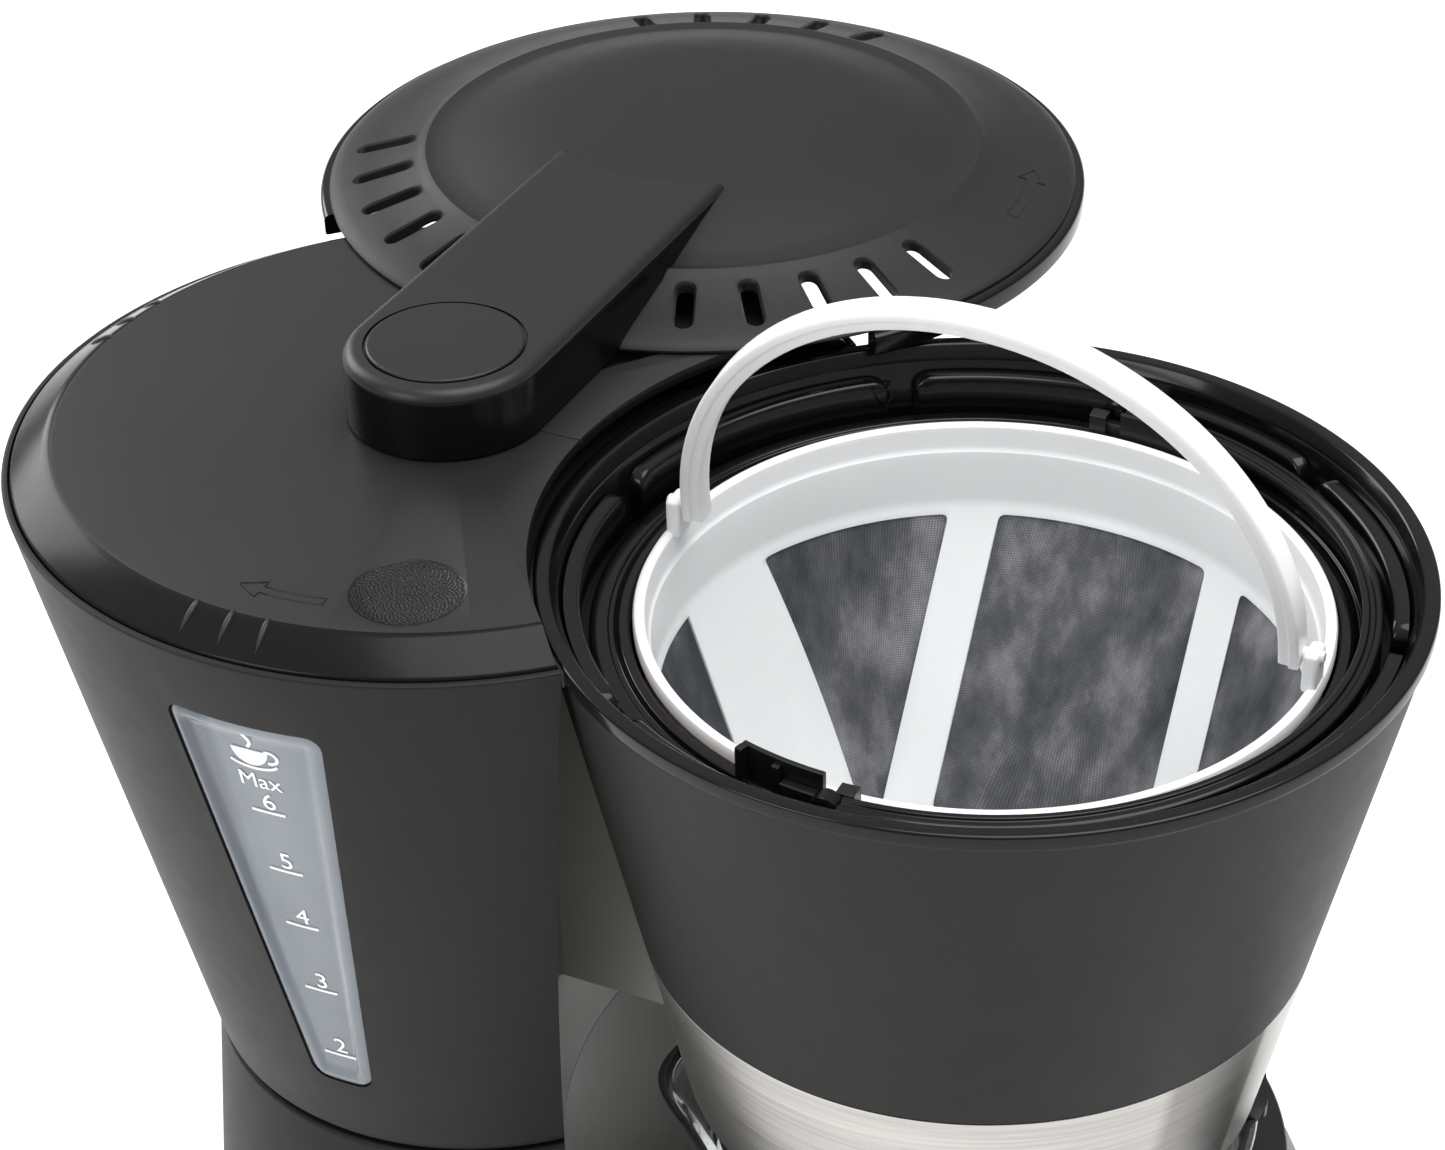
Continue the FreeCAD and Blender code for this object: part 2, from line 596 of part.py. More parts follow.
def riser_seal():
    """Silicone sleeve that centres the riser in the pivot post."""
    return ring(COLUMN_R - 2.6, RISER_BORE_R + 0.05, RIM_Z - 20, RIM_Z - 8, TANK_AXIS)


# ---------------------------------------------------------------- swivel arm and shower disc
DOME_POINTS = [(0, 17.6), (18, 17.5), (30, 16.9), (41, 14.8), (48.5, 12.6), (53.0, 11.2),
               (54.5, 11.7), (56.2, 10.6), (66, 8.1), (71, 6.7), (73.0, 5.8)]


def dome_section(inset):
    """Outline of the domed cover from its axis to its edge, inset from the outer face."""
    return [(max(r - inset * 0.3, 0.0), RIM_Z + z - inset) for r, z in DOME_POINTS]


DUCT_Z = ARM_BOTTOM + 4.3
DUCT_R = 3.2
DUCT_BORE_R = 2.2


def duct_passage(radius, start_x):
    """Hole along the arm for the water duct, from start_x to the shower head."""
    length = DISC_AXIS[0] - 20.0 - start_x
    return Part.makeCylinder(radius, length, Vector(start_x, TANK_Y, DUCT_Z), Vector(1, 0, 0))


def disc_cover():
    outer = [(r, RIM_Z + z) for r, z in DOME_POINTS]
    inner = dome_section(2.0)
    outline = outer + [(DISC_R, RIM_Z + 5.0), (DISC_R - 2.2, RIM_Z + 5.0)] + inner[-2::-1]
    cover = revolve(outline, DISC_AXIS).cut(duct_passage(DUCT_R + 0.1, 20.0))
    for group in SLOT_GROUPS_DEG:
        for index in range(SLOTS_PER_GROUP):
            angle = group + (index - (SLOTS_PER_GROUP - 1) / 2.0) * SLOT_PITCH_DEG
            cover = cover.cut(disc_slot(angle))
    return cover


def disc_slot(angle):
    """Radial round-ended slot, placed for cutting at the given direction."""
    half = SLOT_LENGTH / 2.0 - SLOT_WIDTH / 2.0
    low = RIM_Z + 0.0
    middle = block(DISC_AXIS[0] + SLOT_R - half, DISC_AXIS[0] + SLOT_R + half,
                   DISC_AXIS[1] - SLOT_WIDTH / 2.0, DISC_AXIS[1] + SLOT_WIDTH / 2.0, low, low + 30)
    ends = [rod(SLOT_WIDTH / 2.0, low, low + 30, (DISC_AXIS[0] + SLOT_R + step, DISC_AXIS[1]))
            for step in (-half, half)]
    return turned(fused([middle] + ends), angle, DISC_AXIS)


def disc_flange():
    """Lower ring of the disc, left out where the disc passes over the tank."""
    band = revolve([(FLANGE_R - 4.2, FLANGE_BOTTOM), (FLANGE_R, FLANGE_BOTTOM),
                    (FLANGE_R, FLANGE_TOP - 0.8), (FLANGE_R - 0.8, FLANGE_TOP),
                    (FLANGE_R - 4.2, FLANGE_TOP)], DISC_AXIS)
    return band.cut(rod(FLANGE_CLEAR_R, RIM_Z - 10, RIM_Z + 20, TANK_AXIS))


def shower_head():
    """Shallow perforated cup under the middle of the disc."""
    low = RIM_Z + 1.4
    cup = revolve([(0, low), (25, low), (26, low + 1), (26, low + 9), (24.2, low + 9),
                   (24.2, low + 1.8), (0, low + 1.8)], DISC_AXIS)
    for radius, count in ((8, 6), (16, 12)):
        hole = rod(1.2, low - 1, low + 5, (DISC_AXIS[0] + radius, DISC_AXIS[1]))
        for copy in spread(hole, count, DISC_AXIS):
            cup = cup.cut(copy)
    stem = rod(5.0, low + 1.7, RIM_Z + 15.5, DISC_AXIS)
    return fused([cup, stem]).cut(duct_passage(DUCT_R + 0.1, 20.0))


def arm_block(half_width, low, high, reach):
    bar = block(0, reach, TANK_Y - half_width, TANK_Y + half_width, low, high)
    return rod(half_width, low, high, TANK_AXIS).fuse(bar).removeSplitter()


def disc_envelope():
    """Everything under the top face of the dome and outside the arm's own footing."""
    outer = [(r, RIM_Z + z + 0.05) for r, z in DOME_POINTS]
    outline = outer + [(DISC_R + 0.1, RIM_Z + 5.0), (DISC_R + 0.1, RIM_Z - 5), (0, RIM_Z - 5)]
    return revolve(outline, DISC_AXIS)


def swivel_arm():
    """Hollow arm from the pivot to the dome, bevelled along its upper edges."""
    bevel = 2.6
    lower = arm_block(ARM_HALF_WIDTH, ARM_BOTTOM, ARM_TOP - bevel, ARM_REACH)
    profile = [(-ARM_HALF_WIDTH, ARM_TOP - bevel), (ARM_HALF_WIDTH, ARM_TOP - bevel),
               (ARM_HALF_WIDTH - bevel, ARM_TOP), (-ARM_HALF_WIDTH + bevel, ARM_TOP)]
    corners = [Vector(0, TANK_Y + y, z) for y, z in profile]
    bar = Part.Face(Part.makePolygon(corners + corners[:1])).extrude(Vector(ARM_REACH, 0, 0))
    nose = cone(ARM_HALF_WIDTH, ARM_HALF_WIDTH - bevel, ARM_TOP - bevel, ARM_TOP, TANK_AXIS)
    arm = fused([lower, bar, nose])
    hollow = arm_block(ARM_HALF_WIDTH - 2.4, ARM_BOTTOM - 1, ARM_TOP - 4.4, ARM_REACH - 6)
    arm = arm.cut(hollow)
    hub = ring(POST_R - 3.4, RISER_BORE_R + 1.2, ARM_BOTTOM + 0.6, ARM_TOP - 4.3, TANK_AXIS)
    arm = fused([arm, hub]).cut(duct_passage(DUCT_BORE_R, 2.0))
    recess = rod(CAP_R + 0.2, ARM_TOP - 1.2, ARM_TOP + 1, TANK_AXIS)
    arm = arm.cut(recess).cut(rod(1.7, RIM_Z, ARM_TOP + 5, TANK_AXIS))
    return arm.cut(disc_envelope())


def pivot_cap():
    low = ARM_TOP - 1.1
    return revolve([(0, low), (CAP_R, low), (CAP_R, ARM_TOP - 0.1), (CAP_R - 0.5, ARM_TOP + 0.35),
                    (0, ARM_TOP + 0.35)], TANK_AXIS)


def water_duct():
    """Tube inside the arm from the riser to the shower head."""
    start_x = POST_R - 3.2
    tube = Part.makeCylinder(DUCT_R, DISC_AXIS[0] - 23.8 - start_x, Vector(start_x, TANK_Y, DUCT_Z),
                             Vector(1, 0, 0))
    return tube.cut(duct_passage(DUCT_BORE_R, 2.0))


# ---------------------------------------------------------------- filter housing
def filter_housing():
    """Tapered outer housing: rim, wall, a step for the steel band, and a floor with its outlet."""
    low_r = housing_radius(STEEL_BOTTOM)
    step_r = housing_radius(STEEL_TOP)
    floor_top = STEEL_BOTTOM + 3.0
    inner_low = low_r - STEEL_THICK - WALL
    points = [(16, STEEL_BOTTOM), (low_r - STEEL_THICK - 0.1, STEEL_BOTTOM),
              (step_r - STEEL_THICK - 0.1, STEEL_TOP), (step_r, STEEL_TOP),
              (housing_radius(RIM_Z - 3.2), RIM_Z - 3.2), (HOUSING_R, RIM_Z - 2.6),
              (HOUSING_R, RIM_Z - 0.4),
              (HOUSING_R - 0.5, RIM_Z), (HOUSING_R - 2.6, RIM_Z),
              (housing_inner_radius(RIM_Z - 2.4), RIM_Z - 2.4),
              (housing_inner_radius(STEEL_TOP), STEEL_TOP),
              (inner_low, floor_top), (16, floor_top)]
    return revolve(points)


def steel_band():
    low_r = housing_radius(STEEL_BOTTOM)
    high_r = housing_radius(STEEL_TOP - 0.2)
    return revolve([(low_r - STEEL_THICK, STEEL_BOTTOM), (low_r, STEEL_BOTTOM),
                    (high_r, STEEL_TOP - 0.2), (high_r - STEEL_THICK, STEEL_TOP - 0.2)])


def housing_liner():
    """Inner shelf ring with upright wall panels, split by guide grooves."""
    shelf = ring(68.4, 61.6, SHELF_Z - 2.0, SHELF_Z)
    wall_ring = ring(69.4, 67.5, SHELF_Z - 2.0, RIM_Z - 4.6)
    groove = block(60, 80, -2.2, 2.2, SHELF_Z + 0.1, RIM_Z)
    for angle in (35, 100, 145, 215, 280, 325):
        wall_ring = wall_ring.cut(turned(groove, angle))
    liner = fused([shelf, wall_ring])
    outside = cone(housing_inner_radius(SHELF_Z - 5) - 0.1, housing_inner_radius(RIM_Z) - 0.1,
                   SHELF_Z - 5, RIM_Z)
    return liner.common(outside)


NECK_HALF = 24.0


def neck():
    """Web between the tank's bay wall and the back of the filter housing."""
    low = RIM_Z - 96.0
    high = RIM_Z - 9.0
    web = block(-NECK_HALF, NECK_HALF, 30, 90, low, high)
    web = web.common(bay(BAY_R - 0.05))
    cutter = revolve([(0, low - 5), (housing_radius(low - 5) + 0.05, low - 5),
                      (housing_radius(high + 5) + 0.05, high + 5), (0, high + 5)])
    return web.cut(cutter)


def rim_bridge():
    """Thin deck across the narrow gap between the housing's rim and the tank's bay edge."""
    strip = ring(BAY_R - 0.05, HOUSING_R + 0.05, RIM_Z - 3.0, RIM_Z - 0.2)
    return strip.common(rod(TANK_R - 0.3, RIM_Z - 5, RIM_Z + 1, TANK_AXIS))


# ---------------------------------------------------------------- basket and drip valve
NOZZLE_LOW = RIM_Z - 107.5
BASKET_LOW_R = 38.2
BAIL_POST_R = 61.1


def filter_basket():
    """Removable black cone with a hanging flange and a short drip nozzle."""
    floor = BASKET_FLOOR_Z
    outline = [(3.0, floor), (5.2, floor), (5.2, NOZZLE_LOW), (7.2, NOZZLE_LOW), (7.2, floor - 1.5),
               (BASKET_LOW_R, floor - 1.5), (60.4, FILTER_THROAT_Z - 3.0), (60.9, SHELF_Z - 2.0),
               (60.9, SHELF_Z + 0.2), (FLANGE_RING_R, SHELF_Z + 0.2), (FLANGE_RING_R, SHELF_Z + 2.4),
               (59.4, SHELF_Z + 2.4), (59.0, SHELF_Z - 2.2), (58.6, FILTER_THROAT_Z - 2.0),
               (BASKET_LOW_R - 1.6, floor + 1.0), (3.0, floor + 1.0)]
    basket = revolve(outline)
    posts = []
    for side in (-1, 1):
        centre = side * BAIL_POST_R
        post = block(centre - 1.1, centre + 1.1, -3.0, 3.0, SHELF_Z + 2.3, BASKET_BAIL_Z + 2.6)
        hole = Part.makeCylinder(1.2, 8, Vector(centre - 4, 0, BASKET_BAIL_Z), Vector(1, 0, 0))
        posts.append(post.cut(hole))
    return fused([basket] + posts)


def basket_bail():
    """Flat half-ring handle, lying forward on the flange. It swings over to the back."""
    half = 1.3
    hoop = ring(BASKET_BAIL_OUT_R, BASKET_BAIL_IN_R, BASKET_BAIL_Z - half, BASKET_BAIL_Z + half)
    hoop = hoop.common(block(-90, 90, -90, 0, BASKET_BAIL_Z - 5, BASKET_BAIL_Z + 5))
    rib = ring(65.0, 63.8, BASKET_BAIL_Z + half - 0.1, BASKET_BAIL_Z + half + 0.5)
    rib = rib.common(block(-90, 90, -90, -6, BASKET_BAIL_Z - 5, BASKET_BAIL_Z + 5))
    pieces = [hoop, rib]
    for side in (-1, 1):
        eye = Part.makeCylinder(2.4, BASKET_BAIL_OUT_R - BASKET_BAIL_IN_R - 0.2,
                                Vector(side * (BASKET_BAIL_IN_R + 0.1), 0, BASKET_BAIL_Z),
                                Vector(side, 0, 0))
        pin = Part.makeCylinder(1.1, 3.0, Vector(side * (BASKET_BAIL_IN_R + 0.5), 0, BASKET_BAIL_Z),
                                Vector(-side, 0, 0))
        pieces += [eye, pin]
    return fused(pieces)


def drip_plunger():
    """Valve stem with its head. The carafe's lid holds it up, which lets coffee through."""
    head = BASKET_FLOOR_Z + 5.3
    return revolve([(0, RIM_Z - 111.7), (1.2, RIM_Z - 111.7), (2.0, RIM_Z - 110.6),
                    (2.0, RIM_Z - 108.0), (4.4, RIM_Z - 108.0), (4.4, RIM_Z - 106.4),
                    (2.0, RIM_Z - 106.4), (2.0, head), (6.0, head), (6.0, head + 1.2),
                    (2.0, head + 2.6), (0, head + 2.6)])


def plunger_seal():
    head = BASKET_FLOOR_Z + 5.3
    return ring(6.0, 2.05, head - 1.1, head - 0.05)


def valve_spring():
    """Coil between the basket's floor and the plunger's collar."""
    low = RIM_Z - 106.2
    high = BASKET_FLOOR_Z - 0.2
    wire = 0.35
    turns = 5
    height = high - low - 2 * wire
    helix = Part.makeHelix(height / turns, height, 3.4)
    section = Part.Wire([Part.makeCircle(wire, Vector(3.4, 0, 0), Vector(0, 1, 0))])
    coil = Part.Wire(helix.Edges).makePipeShell([section], True, True)
    coil.translate(Vector(0, 0, low + wire))
    return coil


# ---------------------------------------------------------------- permanent filter
def stadium(radius, half, height):
    """Outline of a slot lying along Y: two half circles joined by straight sides."""
    def spot(x, y):
        return Vector(x, y, height)

    edges = [Part.Arc(spot(radius, half), spot(0, half + radius), spot(-radius, half)).toShape(),
             Part.makeLine(spot(-radius, half), spot(-radius, -half)),
             Part.Arc(spot(-radius, -half), spot(0, -half - radius), spot(radius, -half)).toShape(),
             Part.makeLine(spot(radius, -half), spot(radius, half))]
    return Part.Wire(edges)


def filter_funnel(skin, low, high):
    """Solid that narrows from the round throat to the oblong bottom; skin is outside the inner wall."""
    drop = (FILTER_THROAT_Z - low) / (FILTER_THROAT_Z - FILTER_BOTTOM_Z)
    low_radius = THROAT_R + (FILTER_BOTTOM_R - THROAT_R) * drop + skin
    low_half = FILTER_TOP_HALF + (FILTER_BOTTOM_HALF - FILTER_TOP_HALF) * drop
    rise = (FILTER_THROAT_Z - high) / (FILTER_THROAT_Z - FILTER_BOTTOM_Z)
    high_radius = THROAT_R + (FILTER_BOTTOM_R - THROAT_R) * rise + skin
    high_half = FILTER_TOP_HALF + (FILTER_BOTTOM_HALF - FILTER_TOP_HALF) * rise
    return Part.makeLoft([stadium(low_radius, low_half, low), stadium(high_radius, high_half, high)],
                         True, True)


def pane(side, outline):
    """Cutter for one window, through the long side: an outline in y and z."""
    corners = [Vector(0, y, z) for y, z in outline]
    face = Part.Face(Part.makePolygon(corners + corners[:1]))
    return face.extrude(Vector(side * 80.0, 0, 0))


def window_cutters(low, high, gap=0.0):
    """Cutters of the six mesh windows, three in each long side."""
    middle = [(-MIDDLE_PANE_HALF + gap, low), (MIDDLE_PANE_HALF - gap, low),
              (MIDDLE_PANE_HALF - gap, high), (-MIDDLE_PANE_HALF + gap, high)]
    cutters = [pane(1, middle), pane(-1, middle)]
    for end in (-1, 1):
        slanted = [(end * (END_PANE_START + gap), low), (end * (END_PANE_BOTTOM - gap), low),
                   (end * (END_PANE_TOP - gap), high), (end * (END_PANE_START + gap), high)]
        cutters.append(pane(1, slanted))
        near = end * (END_PANE_START + gap)
        far = end * 62.0
        cutters.append(block(-80, END_PANE_BACK_X - gap, min(near, far), max(near, far), low, high))
    return Part.makeCompound(cutters)


def filter_frame():
    rim = FILTER_RIM_Z
    throat = FILTER_THROAT_Z
    bottom = FILTER_BOTTOM_Z
    outline = [(THROAT_R + FILTER_WALL, throat), (57.8, rim - 3.0), (FILTER_RIM_R, rim - 2.6),
               (FILTER_RIM_R, rim - 0.4), (FILTER_RIM_R - 0.4, rim), (57.0, rim), (56.7, rim - 0.4),
               (56.7, rim - 4.5), (THROAT_R, rim - 5.0), (THROAT_R, throat)]
    collar = revolve(outline)
    funnel = filter_funnel(FILTER_SKIN + FILTER_WALL, bottom - FILTER_WALL, throat + 0.5)
    for index in range(5):
        funnel = funnel.cut(rod(3.0, bottom - 5, bottom + 5, (0, -24.0 + 12.0 * index)))
    frame = collar.fuse(turned(funnel, FILTER_TURN_DEG))
    frame = frame.cut(turned(filter_funnel(FILTER_SKIN, bottom, throat + 0.7), FILTER_TURN_DEG))
    frame = frame.cut(turned(window_cutters(bottom + 8.0, throat - 2.0), FILTER_TURN_DEG))
    for side in (-1, 1):
        ear = block(-3.2, 3.2, 55.9, 58.6, rim - 0.8, FILTER_BAIL_Z + 2.4)
        eye = Part.makeCylinder(1.3, 20, Vector(0, 50, FILTER_BAIL_Z), Vector(0, 1, 0))
        piece = ear.cut(eye)
        if side < 0:
            piece = turned(piece, 180)
        frame = frame.fuse(piece)
    return frame.removeSplitter()


def filter_mesh():
    """Fine nylon gauze in the windows, in the middle of the frame's wall."""
    skin = 0.5
    inner = FILTER_SKIN + FILTER_WALL / 2.0 - skin / 2.0
    low = FILTER_BOTTOM_Z + 8.05
    high = FILTER_THROAT_Z - 2.05
    sleeve = filter_funnel(inner + skin, low - 2.0, high + 1.0)
    sleeve = sleeve.cut(filter_funnel(inner, low - 2.0, high + 1.0))
    return turned(sleeve.common(window_cutters(low, high, 0.05)), FILTER_TURN_DEG)


def filter_bail():
    """White arch, drawn upright and then leaned back on its pins."""
    half = FILTER_BAIL_HALF
    thick = 2.6
    outer_r = FILTER_BAIL_R + half
    inner_r = FILTER_BAIL_R - half
    base = FILTER_BAIL_Z + FILTER_BAIL_STILT
    foot = FILTER_BAIL_Z - 1.6

    def spot(y, z):
        return Vector(-thick, y, z)

    edges = [Part.Arc(spot(-outer_r, base), spot(0, base + outer_r), spot(outer_r, base)).toShape(),
             Part.makeLine(spot(outer_r, base), spot(outer_r, foot)),
             Part.makeLine(spot(outer_r, foot), spot(inner_r, foot)),
             Part.makeLine(spot(inner_r, foot), spot(inner_r, base)),
             Part.Arc(spot(inner_r, base), spot(0, base + inner_r), spot(-inner_r, base)).toShape(),
             Part.makeLine(spot(-inner_r, base), spot(-inner_r, foot)),
             Part.makeLine(spot(-inner_r, foot), spot(-outer_r, foot)),
             Part.makeLine(spot(-outer_r, foot), spot(-outer_r, base))]
    arch = Part.Face(Part.Wire(edges)).extrude(Vector(2 * thick, 0, 0))
    pieces = [arch]
    for side in (-1, 1):
        pieces.append(Part.makeCylinder(1.2, half + 3.9, Vector(0, side * FILTER_BAIL_R, FILTER_BAIL_Z),
                                        Vector(0, side, 0)))
    bail = fused(pieces)
    bail.rotate(Vector(0, 0, FILTER_BAIL_Z), Vector(0, -1, 0), FILTER_BAIL_LEAN_DEG)
    return bail


# ---------------------------------------------------------------- carafe
def glass_outline(inset):
    """Outside of the jug from the foot to the lip, moved in by the inset."""
    bottom = CARAFE_BOTTOM_Z + inset
    return [(52 - inset, bottom), (58 - inset, bottom + 2), (64 - inset, bottom + 12),
            (CARAFE_R - inset, 66), (CARAFE_R - inset, 92), (66.5 - inset, 108),
            (59 - inset, 124), (CARAFE_NECK_R + 1.2 - inset, CARAFE_NECK_Z - 9),
            (CARAFE_NECK_R - inset, CARAFE_NECK_Z - 6), (CARAFE_NECK_R - inset, CARAFE_NECK_Z + 4),
            (CARAFE_LIP_R - 1.0 - inset, CARAFE_LIP_Z - 4), (CARAFE_LIP_R - inset, CARAFE_LIP_Z)]


SPOUT_R = 14.0
SPOUT_Y = 44.0
SPOUT_LOW_Z = CARAFE_LIP_Z - 12.0


def carafe_glass():
    """Blown jug with a flared lip and a pouring spout opposite the handle."""
    outer = glass_outline(0.0)
    inner = glass_outline(GLASS)
    body = revolve([(0, CARAFE_BOTTOM_Z)] + outer + [(0, CARAFE_LIP_Z)])
    hollow = revolve([(0, CARAFE_BOTTOM_Z + GLASS)] + inner + [(0, CARAFE_LIP_Z)])
    spout = cone(4.0, SPOUT_R, SPOUT_LOW_Z, CARAFE_LIP_Z, (0, SPOUT_Y))
    spout_hollow = cone(2.0, SPOUT_R - 2.0, SPOUT_LOW_Z + 1.5, CARAFE_LIP_Z + 0.01, (0, SPOUT_Y))
    return body.fuse(spout).removeSplitter().cut(hollow).cut(spout_hollow)


BAND_R = CARAFE_NECK_R + 2.4
BAND_LOW = CARAFE_NECK_Z - 5.6
BAND_HIGH = CARAFE_NECK_Z + 3.4
HANDLE_SCREW_Z = (BAND_LOW + BAND_HIGH) / 2.0
HANDLE_BACK_Y = -BAND_R - 5.2
THUMB_REST_R = 59.3      # crescent on top of the handle's root, in front of the lip
THUMB_REST_Z = RIM_Z - 128.0
THUMB_REST_DEG = 22.0


def carafe_band():
    """Clamp band round the jug's neck, with the lug that carries the handle."""
    band = ring(BAND_R, CARAFE_NECK_R + 0.1, BAND_LOW, BAND_HIGH)
    lug = block(-8, 8, -BAND_R - 5, -CARAFE_NECK_R - 1.0, BAND_LOW, BAND_HIGH)
    lug = lug.cut(rod(CARAFE_NECK_R + 0.1, 100, 200))
    hole = Part.makeCylinder(1.8, 30, Vector(0, -BAND_R - 20, HANDLE_SCREW_Z), Vector(0, 1, 0))
    return fused([band, lug]).cut(hole)


def carafe_handle():
    """Open grip: a side outline drawn in y and z, given width along x, and its thumb rest."""
    reach = -HANDLE_REACH
    top = BAND_HIGH
    outer = [(HANDLE_BACK_Y, BAND_LOW), (HANDLE_BACK_Y, top), (HANDLE_BACK_Y - 7, top - 1),
             (HANDLE_BACK_Y - 15, top - 8), (reach + 26, top - 9), (reach + 10, top - 10.5),
             (reach + 3, top - 15), (reach, top - 24), (reach + 2, top - 52),
             (reach + 9, top - 76), (reach + 16, top - 81), (reach + 21, top - 77),
             (reach + 15, top - 50), (reach + 14, top - 29), (reach + 19, top - 21),
             (reach + 34, top - 19.4), (HANDLE_BACK_Y - 16, top - 19.4),
             (HANDLE_BACK_Y - 7, top - 16)]
    corners = [Vector(-HANDLE_HALF, y, z) for y, z in outer]
    grip = Part.Face(Part.makePolygon(corners + corners[:1]))
    grip = grip.extrude(Vector(2 * HANDLE_HALF, 0, 0))
    hole = Part.makeCylinder(1.8, 8, Vector(0, HANDLE_BACK_Y + 1, HANDLE_SCREW_Z),
                             Vector(0, -1, 0))
    rest = fused([ring(THUMB_REST_R, 0.8 - HANDLE_BACK_Y, BAND_LOW + 1.0, THUMB_REST_Z),
                  ring(THUMB_REST_R, BAND_R + 0.5, BAND_HIGH + 0.2, THUMB_REST_Z)])
    slice_shape = Part.makeCylinder(90.0, 20.0, Vector(0, 0, BAND_LOW), UP, 2 * THUMB_REST_DEG)
    rest = rest.common(turned(slice_shape, -90 - THUMB_REST_DEG))
    return grip.fuse(rest).cut(hole).removeSplitter()


def handle_screw():
    return Part.makeCylinder(1.6, 11.0, Vector(0, -CARAFE_NECK_R - 0.4, HANDLE_SCREW_Z),
                             Vector(0, -1, 0))


def carafe_lid():
    """Twist lid inside the lip: a low funnel with a raised middle that the drip valve stands on."""
    top = CARAFE_LID_Z
    rim = CARAFE_LIP_Z
    lid = revolve([(0, top - 5.0), (26, top - 8.0), (30, rim - 14), (44.5, rim - 14),
                   (44.8, rim - 11), (48.0, rim - 3), (48.0, rim + 0.6), (42, rim + 2.4),
                   (32, rim + 2.4), (26, top - 4.2), (9, top - 3.2), (7, top), (0, top)])
    for copy in spread(rod(2.4, top - 20, top + 5, (14, 0)), 6):
        lid = lid.cut(copy)
    tab = block(-7, 7, -55, -44, rim + 0.5, rim + 3.0)
    return lid.fuse(tab).removeSplitter()


def jug_group():
    """The jug's pieces, turned as the jug stands in the machine."""
    pieces = {"carafe_glass": carafe_glass(), "carafe_band": carafe_band(),
              "carafe_handle": carafe_handle(), "handle_screw": handle_screw(),
              "carafe_lid": carafe_lid()}
    return {name: turned(piece, CARAFE_TURN_DEG) for name, piece in pieces.items()}


# ---------------------------------------------------------------- export
def switch_group():
    return {"switch_frame": switch_frame(), "power_switch": power_switch(),
            "switch_lens": switch_lens()}


def heater_group():
    return {"heater_casting": heater_casting(), "heater_pipes": heater_pipes(),
            "heater_spreader": heater_spreader(), "thermostat": thermostat(),
            "thermostat_bracket": thermostat_bracket(), "thermal_fuses": thermal_fuses()}


def all_parts():
    parts = {
        "base_shell": base_shell(), "base_cover": base_cover(), "rubber_feet": rubber_feet(),
        "base_screws": base_screws(), "plate_seal": plate_seal(), "heating_plate": heating_plate(),
        "cord_gland": cord_gland(), "terminal_block": terminal_block(),
        "terminal_screws": terminal_screws(), "tower_housing": tower_housing(),
        "tank_shell": tank_shell(), "level_window": level_window(), "tank_deck": tank_deck(),
        "tank_lid": tank_lid(), "deck_front": deck_front(), "check_valve_body": check_valve_body(),
        "check_valve_ball": check_valve_ball(), "cold_hose": cold_hose(), "hot_hose": hot_hose(),
        "riser_tube": riser_tube(), "riser_seal": riser_seal(), "swivel_arm": swivel_arm(),
        "pivot_cap": pivot_cap(), "disc_cover": disc_cover(), "disc_flange": disc_flange(),
        "shower_head": shower_head(), "water_duct": water_duct(),
        "filter_housing": filter_housing(), "steel_band": steel_band(),
        "housing_liner": housing_liner(), "housing_neck": neck(), "rim_bridge": rim_bridge(),
        "filter_basket": filter_basket(), "basket_bail": basket_bail(),
        "drip_plunger": drip_plunger(), "plunger_seal": plunger_seal(),
        "valve_spring": valve_spring(), "filter_frame": filter_frame(),
        "filter_mesh": filter_mesh(), "filter_bail": filter_bail(),
    }
    parts.update(jug_group())
    parts.update(switch_group())
    parts.update(heater_group())
    return parts


def main():
    os.makedirs("parts", exist_ok=True)
    for name, shape in all_parts().items():
        shape.translate(Vector(-MIDDLE_X, -MIDDLE_Y, 0))
        shape.exportStep(f"parts/{name}.step")
        box = shape.BoundBox
        print(f"{name:20s} solids {len(shape.Solids):2d} valid {shape.isValid()} "
              f"volume {shape.Volume / 1000:8.2f} cm3  z {box.ZMin:7.2f} {box.ZMax:7.2f}")


main()
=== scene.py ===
import math
import random

import bmesh
import bpy
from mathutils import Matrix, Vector
from mathutils.kdtree import KDTree


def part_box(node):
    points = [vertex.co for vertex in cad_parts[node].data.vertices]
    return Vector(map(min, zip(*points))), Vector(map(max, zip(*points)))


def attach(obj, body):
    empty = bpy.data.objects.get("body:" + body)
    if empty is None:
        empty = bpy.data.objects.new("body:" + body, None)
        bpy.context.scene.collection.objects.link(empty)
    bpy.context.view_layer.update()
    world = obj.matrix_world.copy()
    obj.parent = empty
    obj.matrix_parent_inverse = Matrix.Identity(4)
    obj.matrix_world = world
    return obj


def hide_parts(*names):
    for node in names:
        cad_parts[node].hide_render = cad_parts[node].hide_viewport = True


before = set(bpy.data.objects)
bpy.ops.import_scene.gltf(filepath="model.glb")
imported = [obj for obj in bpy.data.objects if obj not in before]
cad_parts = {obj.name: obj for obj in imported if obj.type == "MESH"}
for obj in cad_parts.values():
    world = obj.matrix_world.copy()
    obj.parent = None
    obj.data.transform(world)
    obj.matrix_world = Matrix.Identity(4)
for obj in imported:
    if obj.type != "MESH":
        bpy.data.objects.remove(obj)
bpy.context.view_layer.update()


# ---------------------------------------------------------------- dimensions, in millimetres
# Machine axes: the filter axis is at x 0, y 0, the tank axis behind it on +Y, z 0 is the table.
MM = 0.001
RIM = 278.0
TANK_Y = 101.4
TANK = (0.0, TANK_Y)
DISC = (TANK_Y, TANK_Y)
FILTER = (0.0, 0.0)
BAY_R = 75.6
WAIST_R, WAIST_Z = 53.0, 155.0
TANK_R = 78.0
WALL = 2.6
LID_TOP = RIM + 4.4
LID_FLAT_R, LID_R = 69.7, 76.4
